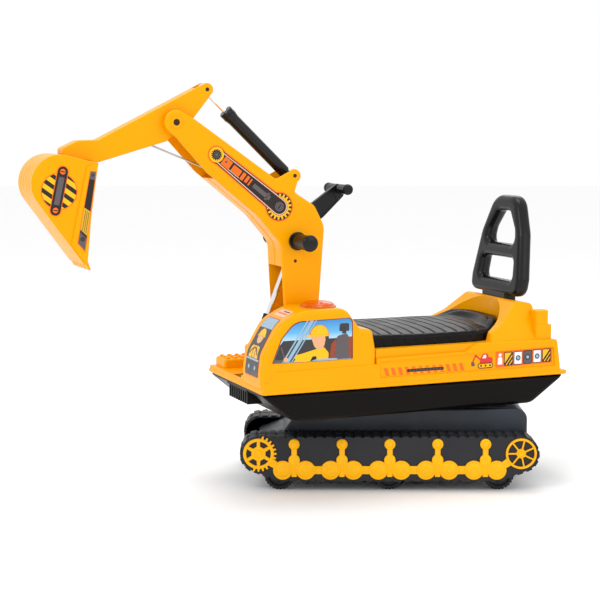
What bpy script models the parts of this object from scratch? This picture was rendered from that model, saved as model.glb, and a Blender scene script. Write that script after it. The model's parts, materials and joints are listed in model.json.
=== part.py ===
"""Ride-on toy digger: crawler undercarriage, slewing body with seat, and a hand-worked digging arm.

Metres, +Z up. X runs along the tracks, sprocket end at -X. The upper works are turned about the
slew axis, so they are drawn in their own frame: x to the seat end, y to the machine's right.
"""
import math

import bmesh
import bpy
from mathutils import Matrix, Vector

# ---------------------------------------------------------------- driving dimensions
FRAME_X = 0.1419                      # shifts the slew axis so the overall box is centred
FRAME_Y = 0.0279
SLEW_REST = math.radians(22.44)       # upper works turned on the tracks
GAP = 0.0003                          # air left between pieces that touch
WALL = 0.003                          # moulded wall

TRACK_OUT = 0.1197                    # outer face of a track shell
TRACK_IN = 0.0627                     # inner face of a track shell
TRACK_END = 0.2468                    # half length without lugs
TRACK_TOP = 0.0913
TRACK_LOW = 0.019
LUG_PITCH = 0.0157
LUG_HIGH = 0.0021
SPROCKET_X = -0.2178
RIM_Z = 0.065
ROLLER_Z = 0.0372
ROLLER_R = 0.016
POST_PITCH = 0.07935
TRIM = 0.003                          # thickness of the yellow trim
WHEEL_R = 0.026
WHEEL_Y = 0.093
WHEEL_X = 0.183
CHASSIS_TOP = 0.1290

HULL_LOW = 0.134
HULL_TOP = 0.181
HULL_HALF = 0.1315
DECK = 0.193
SHELF = 0.2435
BODY_HALF = 0.130
CAB_IN = -0.038                       # inner side of the cab
ROOF = 0.3135

BOOM_HALF = 0.033
BOOM_FOOT = (-0.165, 0.212)
DIPPER_PIN = (-0.3853, 0.6108)
DIPPER_HALF = 0.017
TAIL_PIN = (-0.3283, 0.6629)
EAR_PIN = (-0.1836, 0.5238)
BUCKET_PIN = (-0.545, 0.5525)
BUCKET_HALF = 0.049
LIFT_LOW = (-0.2605, 0.1868)
LIFT_TOP = (-0.183, 0.384)
GRIP = (-0.180, 0.4167)
LEVER_PIN = (-0.190, 0.438)
LEVER_HAND = (-0.0918, 0.4999)
LINK_REAR = (-0.2010, 0.4860)
LINK_FRONT = (-0.4300, 0.5790)

YELLOW = (0.96, 0.42, 0.01)
TRIM_YELLOW = (1.0, 0.55, 0.005)
TRACK_GREY = (0.045, 0.047, 0.055)
CHASSIS_BLUE = (0.035, 0.045, 0.06)
BLACK = (0.012, 0.010, 0.009)
SOFT_BLACK = (0.025, 0.024, 0.025)
CHROME = (0.75, 0.76, 0.78)
STEEL = (0.45, 0.44, 0.43)
AMBER = (0.95, 0.16, 0.01)


# ---------------------------------------------------------------- scene helpers
def clear_scene():
    for obj in list(bpy.data.objects):
        bpy.data.objects.remove(obj, do_unlink=True)


def material(name, colour, roughness=0.35, metallic=0.0):
    mat = bpy.data.materials.new(name)
    mat.use_nodes = True
    shader = mat.node_tree.nodes["Principled BSDF"]
    shader.inputs["Base Color"].default_value = (*colour, 1.0)
    shader.inputs["Roughness"].default_value = roughness
    shader.inputs["Metallic"].default_value = metallic
    mat.diffuse_color = (*colour, 1.0)
    return mat


class Body:
    """A rigid group: an empty at its joint, and the joint's place in the group's drawing frame."""

    def __init__(self, name, parent=None, at=(0.0, 0.0, 0.0), turn=0.0):
        self.origin = Vector(at)
        self.empty = bpy.data.objects.new(name + "_frame", None)
        bpy.context.collection.objects.link(self.empty)
        self.empty.rotation_euler = (0.0, 0.0, turn)
        if parent:
            self.empty.parent = parent.empty
            self.empty.location = self.origin - parent.origin
        else:
            self.empty.location = self.origin

    def adopt(self, obj):
        obj.data.transform(Matrix.Translation(-self.origin))
        obj.parent = self.empty
        return obj


def mesh_object(name, bm, mat=None, smooth=None):
    bmesh.ops.remove_doubles(bm, verts=bm.verts, dist=1e-6)
    bmesh.ops.recalc_face_normals(bm, faces=bm.faces)
    mesh = bpy.data.meshes.new(name)
    bm.to_mesh(mesh)
    bm.free()
    if mat:
        mesh.materials.append(mat)
    if smooth:
        mesh.shade_smooth()
        mesh.set_sharp_from_angle(angle=math.radians(smooth))
    obj = bpy.data.objects.new(name, mesh)
    bpy.context.collection.objects.link(obj)
    return obj


def hide_tool(obj):
    obj.hide_render = True
    obj.display_type = "WIRE"


def boolean(obj, tools, operation="DIFFERENCE"):
    for tool in tools:
        hide_tool(tool)
        mod = obj.modifiers.new(operation.lower(), "BOOLEAN")
        mod.operation = operation
        mod.solver = "EXACT"
        mod.object = tool
    return obj


def cut(obj, *tools):
    return boolean(obj, tools)


def fuse(obj, *tools):
    return boolean(obj, tools, "UNION")


def merge_flats(obj):
    """Joins the coplanar facets that a chain of unions leaves."""
    mod = obj.modifiers.new("merge_flats", "DECIMATE")
    mod.decimate_type = "DISSOLVE"
    mod.angle_limit = math.radians(0.5)
    return obj


def bevel(obj, width, segments=2, angle=40):
    mod = obj.modifiers.new("bevel", "BEVEL")
    mod.width = width
    mod.segments = segments
    mod.limit_method = "ANGLE"
    mod.angle_limit = math.radians(angle)
    return obj


# ---------------------------------------------------------------- shapes
def rounded(corners, steps=5):
    """Outline from (a, b) or (a, b, radius) corners, each radius worked in as an arc."""
    points = []
    for i, corner in enumerate(corners):
        here = Vector(corner[:2])
        if len(corner) == 2:
            points.append(here)
            continue
        before = (Vector(corners[i - 1][:2]) - here).normalized()
        after = (Vector(corners[(i + 1) % len(corners)][:2]) - here).normalized()
        half = before.angle(after) / 2
        reach = corner[2] / math.tan(half)
        centre = here + (before + after).normalized() * (corner[2] / math.sin(half))
        start = here + before * reach - centre
        sweep = start.angle_signed(here + after * reach - centre)
        for k in range(steps + 1):
            turn = Matrix.Rotation(-sweep * k / steps, 2)
            points.append(centre + turn @ start)
    return points


def circle(centre, radius, count=24, start=0.0):
    step = 2 * math.pi / count
    return [Vector((centre[0] + radius * math.cos(start + step * i),
                    centre[1] + radius * math.sin(start + step * i))) for i in range(count)]


def slab(bm, outline, low, high, axis="Y"):
    """Straight prism of a closed outline. axis Y: outline in XZ. X: in YZ. Z: in XY."""
    order = {"X": (2, 0, 1), "Y": (0, 2, 1), "Z": (0, 1, 2)}[axis]

    def place(p, depth):
        values = (p[0], p[1], depth)
        return Vector(values[order[i]] for i in range(3))

    near = [bm.verts.new(place(p, low)) for p in outline]
    far = [bm.verts.new(place(p, high)) for p in outline]
    bm.faces.new(near)
    bm.faces.new(list(reversed(far)))
    for i in range(len(outline)):
        j = (i + 1) % len(outline)
        bm.faces.new((near[j], near[i], far[i], far[j]))


def prism(name, outline, low, high, mat=None, axis="Y", smooth=30):
    bm = bmesh.new()
    slab(bm, outline, low, high, axis)
    return mesh_object(name, bm, mat, smooth)


def prisms(name, parts, mat=None, axis="Y", smooth=30):
    """Several prisms that do not touch, in one object: (outline, low, high) each."""
    bm = bmesh.new()
    for outline, low, high in parts:
        slab(bm, outline, low, high, axis)
    return mesh_object(name, bm, mat, smooth)


def rectangle(a0, b0, a1, b1):
    return [(a0, b0), (a1, b0), (a1, b1), (a0, b1)]


def block(name, low, high, mat=None):
    return prism(name, rectangle(low[0], low[2], high[0], high[2]), low[1], high[1], mat, smooth=None)


def turned(name, profile, mat=None, count=24, smooth=35):
    """Solid of revolution about Z from (radius, height) points, closed on the axis at both ends."""
    bm = bmesh.new()
    rings = []
    for radius, height in profile:
        if radius < 1e-7:
            rings.append([bm.verts.new((0, 0, height))])
            continue
        rings.append([bm.verts.new((*p, height)) for p in circle((0, 0), radius, count)])
    for lower, upper in zip(rings, rings[1:]):
        for i in range(count):
            j = (i + 1) % count
            corners = [lower[i % len(lower)], lower[j % len(lower)],
                       upper[j % len(upper)], upper[i % len(upper)]]
            unique = list(dict.fromkeys(corners))
            if len(unique) > 2:
                bm.faces.new(unique)
    return mesh_object(name, bm, mat, smooth)


def aim(obj, start, direction):
    """Lays a piece drawn along +Z from the origin on a line in the group's frame."""
    turn = Vector((0, 0, 1)).rotation_difference(Vector(direction)).to_matrix().to_4x4()
    obj.data.transform(Matrix.Translation(Vector(start)) @ turn)
    return obj


def pin(name, at, radius, half, mat, count=16, head=0.0, head_radius=None):
    """Round pin across the machine, with an optional head at each end."""
    big = head_radius or radius
    profile = [(0, -half - head), (big, -half - head), (big, -half), (radius, -half),
               (radius, half), (big, half), (big, half + head), (0, half + head)]
    if not head:
        profile = [(0, -half), (radius, -half), (radius, half), (0, half)]
    return aim(turned(name, profile, mat, count), (at[0], 0, at[1]), (0, 1, 0))


def bore(at, radius, low=-0.2, high=0.2, count=16):
    return prism("bore", circle(at, radius, count), low, high)


# ---------------------------------------------------------------- undercarriage
def track_outline(grow=0.0):
    end = TRACK_END + grow
    top = TRACK_TOP + grow
    low = TRACK_LOW - grow
    return rounded([(end, top, 0.028 + grow), (-end, top, 0.028 + grow), (-end, 0.043, 0.028 + grow),
                    (-0.184, low, 0.02), (0.184, low, 0.02), (end, 0.043, 0.028 + grow)], 6)


def lugged_outline():
    """Track outline with a tooth for every lug."""
    outline = track_outline()
    lengths = [(outline[(i + 1) % len(outline)] - p).length for i, p in enumerate(outline)]
    total = sum(lengths)
    count = round(total / LUG_PITCH)
    pitch = total / count

    def at(distance):
        distance %= total
        for i, length in enumerate(lengths):
            if distance <= length:
                along = (outline[(i + 1) % len(outline)] - outline[i]).normalized()
                return outline[i] + along * distance, along
            distance -= length
        return outline[0], (outline[1] - outline[0]).normalized()

    points = []
    for i in range(count):
        for share, lift in ((0.0, 0.0), (0.04, 1.0), (0.70, 1.0), (0.74, 0.0)):
            spot, along = at((i + share) * pitch)
            outward = Vector((-along.y, along.x))
            if outward.dot(spot - Vector((0, 0.055))) < 0:
                outward = -outward
            points.append(spot + outward * LUG_HIGH * lift)
    return points


def track_shell(side, body, mat):
    name = "track_shell_" + ("left" if side < 0 else "right")
    faces = sorted((side * TRACK_IN, side * TRACK_OUT))
    shell = prism(name, lugged_outline(), *faces, mat)
    hollow = sorted((side * (TRACK_IN - 0.01), side * (TRACK_OUT - WALL)))
    inside = prism("inside", track_outline(-WALL), *hollow)
    wells = sorted((side * (TRACK_IN - 0.01), side * (WHEEL_Y + 0.0145)))
    doors = prisms("doors", [(rectangle(x - 0.0315, -0.01, x + 0.0315, 0.05), *wells)
                             for x in (-WHEEL_X, 0.0, WHEEL_X)])
    cut(shell, body.adopt(inside), body.adopt(doors))
    return body.adopt(shell)


def toothed_wheel(centre, radius, tip, teeth, first, last):
    """Rim outline with teeth between two angles, and a plain rim elsewhere."""
    points = []
    for i in range(teeth):
        middle = 360.0 * i / teeth
        inside = first <= (middle if middle <= 180 else middle - 360) <= last
        for offset, lift in (((-0.42, 0), (-0.24, 1), (0.24, 1), (0.42, 0)) if inside else ((0, 0),)):
            angle = math.radians(middle + offset * 360.0 / teeth)
            r = tip if lift else radius
            points.append(Vector((centre[0] + r * math.cos(angle), centre[1] + r * math.sin(angle))))
    return points


def spoke_windows(centre, inner, outer, count, turn, rib):
    """Openings between spokes, each an annular sector."""
    windows = []
    for k in range(count):
        middle = math.radians(turn) + 2 * math.pi * (k + 0.5) / count
        outline = []
        for radius, order in ((inner, (-1, 0, 1)), (outer, (1, 0.5, 0, -0.5, -1))):
            spread = math.pi / count - rib / radius
            for share in order:
                angle = middle + spread * share
                outline.append((centre[0] + radius * math.cos(angle),
                                centre[1] + radius * math.sin(angle)))
        windows.append(outline)
    return windows


def bar(start, end, half):
    a, b = Vector(start), Vector(end)
    across = (b - a).normalized().orthogonal() * half
    return [a - across, b - across, b + across, a + across]


def track_trim(side, body, mat):
    """The one-piece yellow moulding on a track's outer face."""
    name = "track_trim_" + ("left" if side < 0 else "right")
    y = sorted((side * (TRACK_OUT + GAP), side * (TRACK_OUT + GAP + TRIM)))
    posts = [POST_PITCH * k for k in range(-2, 3)]
    rollers = [x + s * 0.019 for x in posts for s in (-1, 1)]
    links = [bar((a, ROLLER_Z), (b, ROLLER_Z), 0.007) for a, b in zip(rollers[1::2], rollers[2::2])]
    stems = [rectangle(x - 0.0044, 0.0266, x + 0.0044, 0.0807) for x in posts]
    reach = -SPROCKET_X
    ends = [bar((s * (reach - 0.0205), 0.0505), (s * abs(rollers[0]), ROLLER_Z + 0.002), 0.0062)
            for s in (-1, 1)]
    trim = prisms(name, [(circle((x, ROLLER_Z), ROLLER_R, 18), *y) for x in rollers], mat)
    sprocket = toothed_wheel((SPROCKET_X, RIM_Z), 0.0255, 0.0298, 24, -115, 80)
    add = [("links", links + ends), ("stems", stems),
           ("balls", [circle((x, 0.0807), 0.0092, 12) for x in posts]),
           ("collars", [circle((x, 0.055), 0.0092, 12) for x in posts]),
           ("wheels", [sprocket, circle((reach, RIM_Z), 0.0255, 28)])]
    for label, outlines in add:
        fuse(trim, body.adopt(prisms(label, [(o, *y) for o in outlines])))
    cuts = spoke_windows((SPROCKET_X, RIM_Z), 0.012, 0.0206, 6, 90, 0.0023)
    cuts += spoke_windows((reach, RIM_Z), 0.009, 0.0215, 7, 180, 0.0016)
    cut(trim, body.adopt(prisms("windows", [(o, y[0] - 0.01, y[1] + 0.01) for o in cuts])))
    return body.adopt(merge_flats(trim))


def wheel(name, x, side, body, mat):
    profile = [(0, -0.011), (0.0245, -0.011), (WHEEL_R, -0.0095), (WHEEL_R, 0.0095),
               (0.0245, 0.011), (0, 0.011)]
    tyre = aim(turned(name, profile, mat, 20), (x, side * WHEEL_Y, WHEEL_R), (0, 1, 0))
    hub = Body(name, body, (x, side * WHEEL_Y, WHEEL_R))
    hole = hub.adopt(bore((x, WHEEL_R), 0.0046, count=10))
    cut(tyre, hole)
    return hub.adopt(tyre)


def undercarriage(root, paint):
    half = TRACK_IN - GAP
    outline = rounded([(-0.221, 0.045), (0.236, 0.045), (0.236, CHASSIS_TOP, 0.018), (-0.150, CHASSIS_TOP),
                       (-0.1775, 0.0905, 0.006), (-0.221, 0.074, 0.006)])
    frame = prism("chassis_frame", outline, -half, half, paint["chassis"])
    inner = rounded([(-0.217, 0.04), (0.232, 0.04), (0.232, CHASSIS_TOP - 0.004, 0.015),
                     (-0.147, CHASSIS_TOP - 0.004), (-0.1745, 0.0865), (-0.217, 0.070)])
    cut(frame, root.adopt(prism("inner", inner, 0.004 - half, half - 0.004)))
    for x, top in ((-WHEEL_X, 0.085), (0.0, 0.110), (WHEEL_X, 0.1265)):
        rib = prism("rib", rectangle(x - 0.008, 0.0145, x + 0.008, top), 0.003 - half, half - 0.003)
        fuse(frame, root.adopt(rib))
    for x in (-WHEEL_X, 0.0, WHEEL_X):
        cut(frame, root.adopt(bore((x, WHEEL_R), 0.0042)))
    cut(frame, root.adopt(prism("king_hole", circle((0, 0), 0.0063), 0.04, 0.2, axis="Z")))
    root.adopt(merge_flats(frame))
    ring = turned("turntable_ring", [(0, CHASSIS_TOP + GAP), (0.078, CHASSIS_TOP + GAP),
                                     (0.078, HULL_LOW - 2 * GAP), (0, HULL_LOW - 2 * GAP)],
                  paint["chassis"], 32)
    cut(ring, root.adopt(prism("ring_hole", circle((0, 0), 0.0063), 0.04, 0.2, axis="Z")))
    root.adopt(ring)
    pin_profile = [(0, 0.112), (0.011, 0.112), (0.011, 0.1245), (0.006, 0.1245), (0.006, 0.1440),
                   (0.014, 0.1440), (0.014, 0.148), (0, 0.148)]
    root.adopt(turned("king_pin", pin_profile, paint["steel"], 20))
    for side in (-1, 1):
        track_shell(side, root, paint["track"])
        track_trim(side, root, paint["trim"])
    for name, x in (("front", -WHEEL_X), ("middle", 0.0), ("rear", WHEEL_X)):
        root.adopt(pin("axle_" + name, (x, WHEEL_R), 0.004, 0.107, paint["steel"], 12))
        for side, word in ((-1, "left"), (1, "right")):
            wheel(f"wheel_{name}_{word}", x, side, root, paint["black"])


# ---------------------------------------------------------------- slewing body
def tub(top_x, low_x0, low_x1, top_half, low_half, low, top):
    """Boat-shaped block: a rectangle below, joined to a longer rectangle above."""
    bm = bmesh.new()
    loops = []
    for x0, x1, half, z in ((low_x0, low_x1, low_half, low), (-top_x, top_x, top_half, top)):
        loops.append([bm.verts.new(p) for p in ((x0, -half, z), (x1, -half, z),
                                                 (x1, half, z), (x0, half, z))])
    bm.faces.new(loops[0])
    bm.faces.new(list(reversed(loops[1])))
    for i in range(4):
        j = (i + 1) % 4
        bm.faces.new((loops[0][i], loops[0][j], loops[1][j], loops[1][i]))
    return bm


def lower_hull(upper, paint):
    hull = mesh_object("lower_hull", tub(0.280, -0.224, 0.2147, HULL_HALF, 0.1295, HULL_LOW, HULL_TOP),
                       paint["black"], 30)
    bevel(hull, 0.009, 3, 30)
    teeth = []
    for k in range(7):
        y = -0.0430 + k * 0.0133
        teeth += [(-0.2715, y), (-0.2715, y + 0.0065), (-0.2680, y + 0.0080), (-0.2680, y + 0.0118)]
    comb = [(-0.24, -0.0445), *teeth, (-0.24, 0.0465)]
    fuse(hull, upper.adopt(prism("grille", comb, 0.1535, HULL_TOP - 0.0004, axis="Z")))
    inside = mesh_object("inside", tub(0.2805, -0.2195, 0.2102, HULL_HALF - WALL, 0.1265,
                                       HULL_LOW + 0.0035, HULL_TOP + 0.004))
    cut(hull, upper.adopt(inside))
    cut(hull, upper.adopt(prism("king_hole", circle((0, 0), 0.0065), 0.1, 0.16, axis="Z")))
    return upper.adopt(merge_flats(hull))


def body_outline(inset=0.0):
    """Side view of the main moulding, shelf behind and deck in front."""
    low = HULL_TOP + GAP - (0.01 if inset else 0.0)
    lip = [] if inset else [(0.2827, low), (0.2827, 0.1885), (0.2700, 0.1895)]
    rear = 0.2680 - inset
    return rounded([(-0.2805 + inset, low), *(lip or [(rear, low)]), (rear - 0.0005, 0.2025),
                    (0.2620 - inset, 0.2425 - inset, 0.006), (0.2, SHELF - inset),
                    (-0.079 + inset, SHELF - inset), (-0.079 + inset, DECK - inset),
                    (-0.2765 + inset, DECK - inset, 0.003)])


def cab_outline(inset=0.0):
    i = inset
    low = DECK - 0.006 - (0.004 if inset else 0.0)
    return rounded([(-0.2795 + i, low), (-0.2800 + i, 0.214, 0.01), (-0.2760 + i, 0.2450, 0.04),
                    (-0.2480 + i, 0.2935 - i, 0.05), (-0.2080 + i, ROOF - i, 0.04),
                    (-0.1330 - i, ROOF - i, 0.022), (-0.1080 - i, 0.2800 - i, 0.008),
                    (-0.0855 - i, 0.2765 - i, 0.007), (-0.0795 - i, 0.2430 - i), (-0.0795 - i, low)])


def seat_surround(upper):
    """Wing-shaped rest behind the seat: a prism whose sides lean in to the top."""
    outline = rounded([(0.130, 0.238), (0.1345, 0.2425), (0.1400, 0.2580, 0.008), (0.1680, 0.2730, 0.03),
                       (0.2030, 0.3060, 0.010), (0.2340, 0.3010, 0.006), (0.2370, 0.238)])
    bm = bmesh.new()
    slab(bm, outline, -1.0, 1.0)
    for vert in bm.verts:
        lean = min(max((vert.co.z - 0.2425) / 0.065, 0.0), 1.0)
        vert.co.y *= 0.1255 - 0.040 * lean
    return upper.adopt(mesh_object("surround", bm, smooth=30))


def upper_body(upper, paint):
    shell = prism("upper_body", body_outline(), -BODY_HALF, BODY_HALF, paint["yellow"])
    bevel(shell, 0.004, 2, 50)
    cab = bevel(upper.adopt(prism("cab", cab_outline(), -0.1285, CAB_IN)), 0.011, 2, 50)
    house = prism("house", rounded([(-0.215, 0.185), (-0.215, 0.227, 0.006), (-0.0785, 0.227),
                                    (-0.0785, 0.185)]), 0.041, 0.127)
    cover = prism("cover", rounded([(-0.268, 0.186), (-0.268, 0.2085, 0.005), (-0.200, 0.2085),
                                    (-0.200, 0.186)]), 0.079, 0.1255)
    ribs = prisms("cover_ribs", [(rectangle(-0.262 + k * 0.0135, 0.205, -0.2555 + k * 0.0135, 0.2113),
                                  0.084, 0.1215) for k in range(4)])
    pad = prism("pad", rounded([(-0.2765, 0.186), (-0.2765, 0.198, 0.003), (-0.1, 0.198), (-0.1, 0.186)]),
                -0.1285, -0.022)
    stacks = [prisms("stack", [(rounded([(0.222, 0.24), (0.254, 0.24), (0.2535, 0.2675, 0.002),
                                         (0.2225, 0.2685, 0.002)], 2), y, y + 0.028)])
              for y in (-0.1245, 0.0965)]
    pipes = [prism("pipe", circle((0.2365, y), 0.0125, 20), 0.25, 0.2925, axis="Z")
             for y in (-0.1105, 0.1105)]
    for piece in (house, cover, ribs, pad, *stacks, *pipes):
        upper.adopt(piece)
    fuse(shell, cab, house, cover, ribs, pad, seat_surround(upper), *stacks, *pipes)
    seat_well = prism("seat_well", [(0.100 + 0.1035 * math.cos(a), 0.1135 * math.sin(a)) for a in
                                    (math.pi * k / 24 - math.pi / 2 for k in range(25))]
                      + [(0.05, 0.1135), (0.05, -0.1135)], SHELF + 0.0002, 0.35, axis="Z")
    stem = prism("stem_slot", rectangle(-0.0423, 0.2760, 0.0423, 0.33), 0.2085, 0.2335, axis="X")
    cavity = prism("cavity", body_outline(WALL), 0.0235, BODY_HALF - WALL)
    cavity_left = prism("cavity_left", body_outline(WALL), -BODY_HALF + WALL, -0.0235)
    middle = block("middle", (-0.079 + WALL, -0.03, 0.17), (0.262, 0.03, SHELF - WALL))
    cab_room = prism("cab_room", cab_outline(WALL), -0.1255, CAB_IN - WALL)
    house_room = prism("house_room", rectangle(-0.212, 0.18, -0.0825, 0.224), 0.044, 0.124)
    slot = block("slot", (-0.215, -0.0355, 0.17), (-0.115, 0.0355, 0.3))
    ram_slot = block("ram_slot", (-0.274, -0.0200, 0.17), (-0.21, 0.0200, 0.3))
    behind = block("behind", (-0.13, -0.0355, 0.17), (-0.07, 0.0355, DECK - WALL))
    for tool in (seat_well, stem, cavity, cavity_left, middle, cab_room, house_room, slot, ram_slot,
                 behind):
        cut(shell, upper.adopt(tool))
    cut(shell, upper.adopt(bore(BOOM_FOOT, 0.0053, -0.046, 0.05)))
    cut(shell, upper.adopt(bore(LIFT_LOW, 0.0027, -0.0225, 0.0225)))
    return upper.adopt(merge_flats(shell))


def seat(upper, paint):
    """Saddle with a dipped middle and a low lip at the back."""
    profile = rounded([(-0.0775, SHELF + GAP), (0.150, SHELF + GAP), (0.176, SHELF + GAP, 0.006),
                       (0.1965, 0.258, 0.01), (0.1950, 0.2785, 0.008), (0.172, 0.2770, 0.01),
                       (0.150, 0.2680, 0.02), (0.05, 0.2660, 0.05), (-0.0775, 0.2705, 0.008)])
    bm = bmesh.new()
    slab(bm, profile, -1.0, 1.0)
    for vert in bm.verts:
        back = max(vert.co.x - 0.10, 0.0) / 0.0985
        vert.co.y *= 0.1095 * math.sqrt(max(1.0 - min(back, 0.93) ** 2, 0.0))
    saddle = mesh_object("seat", bm, paint["soft_black"], 30)
    bevel(saddle, 0.010, 2, 50)
    return upper.adopt(saddle)


def backrest(upper, paint):
    """Ladder-shaped rest, leaning back, on a flat stem."""
    def arch(points, radius):
        right = [(y, z, r or radius) for y, z, r in points]
        return rounded(right + [(-y, z, r) for y, z, r in reversed(right)])

    outer = arch([(0.0830, 0.3105, 0.014), (0.0850, 0.3400, 0.03), (0.0690, 0.4200, 0.04),
                  (0.0380, 0.4830, 0.030)], 0.01)
    frame = prism("backrest", outer, 0.0, 0.026, paint["soft_black"], axis="X")
    bevel(frame, 0.008, 2, 50)
    windows = [arch([(0.0560, 0.3365, 0.008), (0.0520, 0.3750, 0.008)], 0.008),
               arch([(0.0490, 0.3990, 0.010), (0.0430, 0.4240, 0.012), (0.0190, 0.4560, 0.010)], 0.008)]
    holes = prisms("windows", [(o, -0.01, 0.04) for o in windows], axis="X")
    stem = prism("stem", rectangle(-0.042, 0.2763, 0.042, 0.3200), 0.002, 0.0265, axis="X")
    lean = math.radians(7.8)
    for piece in (frame, holes):
        for vert in piece.data.vertices:
            vert.co.x += (vert.co.z - 0.318) * math.tan(lean)
    for piece in (frame, holes, stem):
        piece.data.transform(Matrix.Translation((0.2068, 0, 0)))
    fuse(frame, upper.adopt(stem))
    cut(frame, upper.adopt(holes))
    return upper.adopt(merge_flats(frame))


def beacon(upper, paint):
    profile = [(0, 0.0), (0.030, 0.0), (0.030, 0.002), (0.026, 0.0055), (0.017, 0.0082), (0, 0.0092)]
    lamp = turned("beacon", profile, paint["amber"], 32)
    lamp.data.transform(Matrix.Translation((-0.1645, -0.084, ROOF + GAP)))
    return upper.adopt(lamp)


# ---------------------------------------------------------------- arm
def boom_outline():
    x, z = DIPPER_PIN
    head = [(x + 0.0195 * math.cos(a), z + 0.0195 * math.sin(a))
            for a in (math.radians(d) for d in range(60, 241, 20))]
    ear = [(EAR_PIN[0] + 0.0112 * math.cos(a), EAR_PIN[1] + 0.0112 * math.sin(a))
           for a in (math.radians(d) for d in range(-60, 141, 20))]
    foot = [(BOOM_FOOT[0] + 0.022 * math.cos(a), BOOM_FOOT[1] + 0.022 * math.sin(a))
            for a in (math.radians(d) for d in range(-160, -19, 20))]
    back = rounded([(-0.1410, 0.260), (-0.1400, 0.3120), (-0.1305, 0.4400, 0.035),
                    (-0.1480, 0.4745, 0.02), (-0.1835, 0.4970)])
    front = rounded([(-0.3870, 0.5880), (-0.3355, 0.5310, 0.02), (-0.2480, 0.4590, 0.03),
                     (-0.2080, 0.4120, 0.03), (-0.2065, 0.3780, 0.03), (-0.2020, 0.3000, 0.05),
                     (-0.1960, 0.240)])
    # the list runs anticlockwise: foot, back, ear, upper edge, head, front edge
    return foot + back + ear + [(-0.2161, 0.5188), (-0.3540, 0.6155)] + head + front


def boom_channel():
    """Hollow of the arm, open where the dipper, the rams, the lever and the rod pass."""
    return [(-0.1995, 0.180), (-0.1460, 0.180), (-0.1440, 0.3120), (-0.1362, 0.418), (-0.1200, 0.4250),
            (-0.1200, 0.4640), (-0.1500, 0.4900), (-0.1690, 0.5000), (-0.1650, 0.5450),
            (-0.2300, 0.5700), (-0.2200, 0.5165), (-0.3300, 0.5940), (-0.3600, 0.6600),
            (-0.4300, 0.6600), (-0.4300, 0.5600), (-0.3700, 0.5350), (-0.3420, 0.5150),
            (-0.3180, 0.5225), (-0.2500, 0.4660), (-0.2065, 0.4250), (-0.2035, 0.4000),
            (-0.2030, 0.3760), (-0.2260, 0.3700), (-0.2250, 0.180)]


def boom_half(side, boom, paint):
    name = "boom_" + ("left" if side < 0 else "right")
    low, high = sorted((side * GAP / 2, side * BOOM_HALF))
    half = bevel(prism(name, boom_outline(), low, high, paint["yellow"]), 0.0025, 1, 60)
    low, high = sorted((-side * 0.01, side * (BOOM_HALF - 0.004)))
    channel = prism("channel", boom_channel(), low, high)
    cut(half, boom.adopt(channel))
    for at, radius in ((DIPPER_PIN, 0.0053), (EAR_PIN, 0.0033), (LIFT_TOP, 0.0028), (BOOM_FOOT, 0.0053),
                       (GRIP, 0.0126), (LEVER_PIN, 0.0033)):
        cut(half, boom.adopt(bore(at, radius, count=20)))
    return boom.adopt(merge_flats(half))


def dipper_outline():
    x, z = TAIL_PIN
    tail = [(x + 0.0104 * math.cos(a), z + 0.0104 * math.sin(a))
            for a in (math.radians(d) for d in range(-40, 121, 20))]
    tip = [(BUCKET_PIN[0] + 0.0125 * math.cos(a), BUCKET_PIN[1] + 0.0125 * math.sin(a))
           for a in (math.radians(d) for d in range(180, 361, 20))]
    return rounded([(-0.3960, 0.5810, 0.006), (-0.3520, 0.6165, 0.003), (-0.3275, 0.6470), *tail,
                    (-0.5080, 0.5835, 0.01), (-0.5400, 0.5828, 0.006), (-0.5660, 0.5705, 0.006),
                    (-0.5660, 0.5600), *tip, (-0.5100, 0.5480)])


def dipper_channel():
    return [(-0.5540, 0.5300), (-0.5200, 0.5300), (-0.5080, 0.5515), (-0.4450, 0.5650),
            (-0.4400, 0.5400), (-0.3950, 0.5700), (-0.3995, 0.5850), (-0.3600, 0.6160),
            (-0.3400, 0.6000), (-0.3000, 0.6450), (-0.3050, 0.6850), (-0.3430, 0.6850), (-0.3480, 0.6610),
            (-0.4580, 0.6080), (-0.5080, 0.5790), (-0.5380, 0.5780), (-0.5580, 0.5680)]


def dipper_half(side, dipper, paint):
    name = "dipper_" + ("left" if side < 0 else "right")
    low, high = sorted((side * GAP / 2, side * DIPPER_HALF))
    half = bevel(prism(name, dipper_outline(), low, high, paint["yellow"]), 0.002, 1, 60)
    low, high = sorted((-side * 0.01, side * (DIPPER_HALF - 0.0045)))
    cut(half, dipper.adopt(prism("channel", dipper_channel(), low, high)))
    for at, radius in ((DIPPER_PIN, 0.0053), (TAIL_PIN, 0.0033), (BUCKET_PIN, 0.0038)):
        cut(half, dipper.adopt(bore(at, radius)))
    return dipper.adopt(merge_flats(half))


def bucket_outline():
    centre = Vector((-0.5765, 0.5165))
    back = [centre + 0.0455 * Vector((math.cos(a), math.sin(a)))
            for a in (math.radians(d) for d in range(84, 217, 12))]
    return [(-0.5300, 0.4668), (-0.5177, 0.5485), *back, (-0.5420, 0.3915), (-0.5375, 0.3905)]


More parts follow.
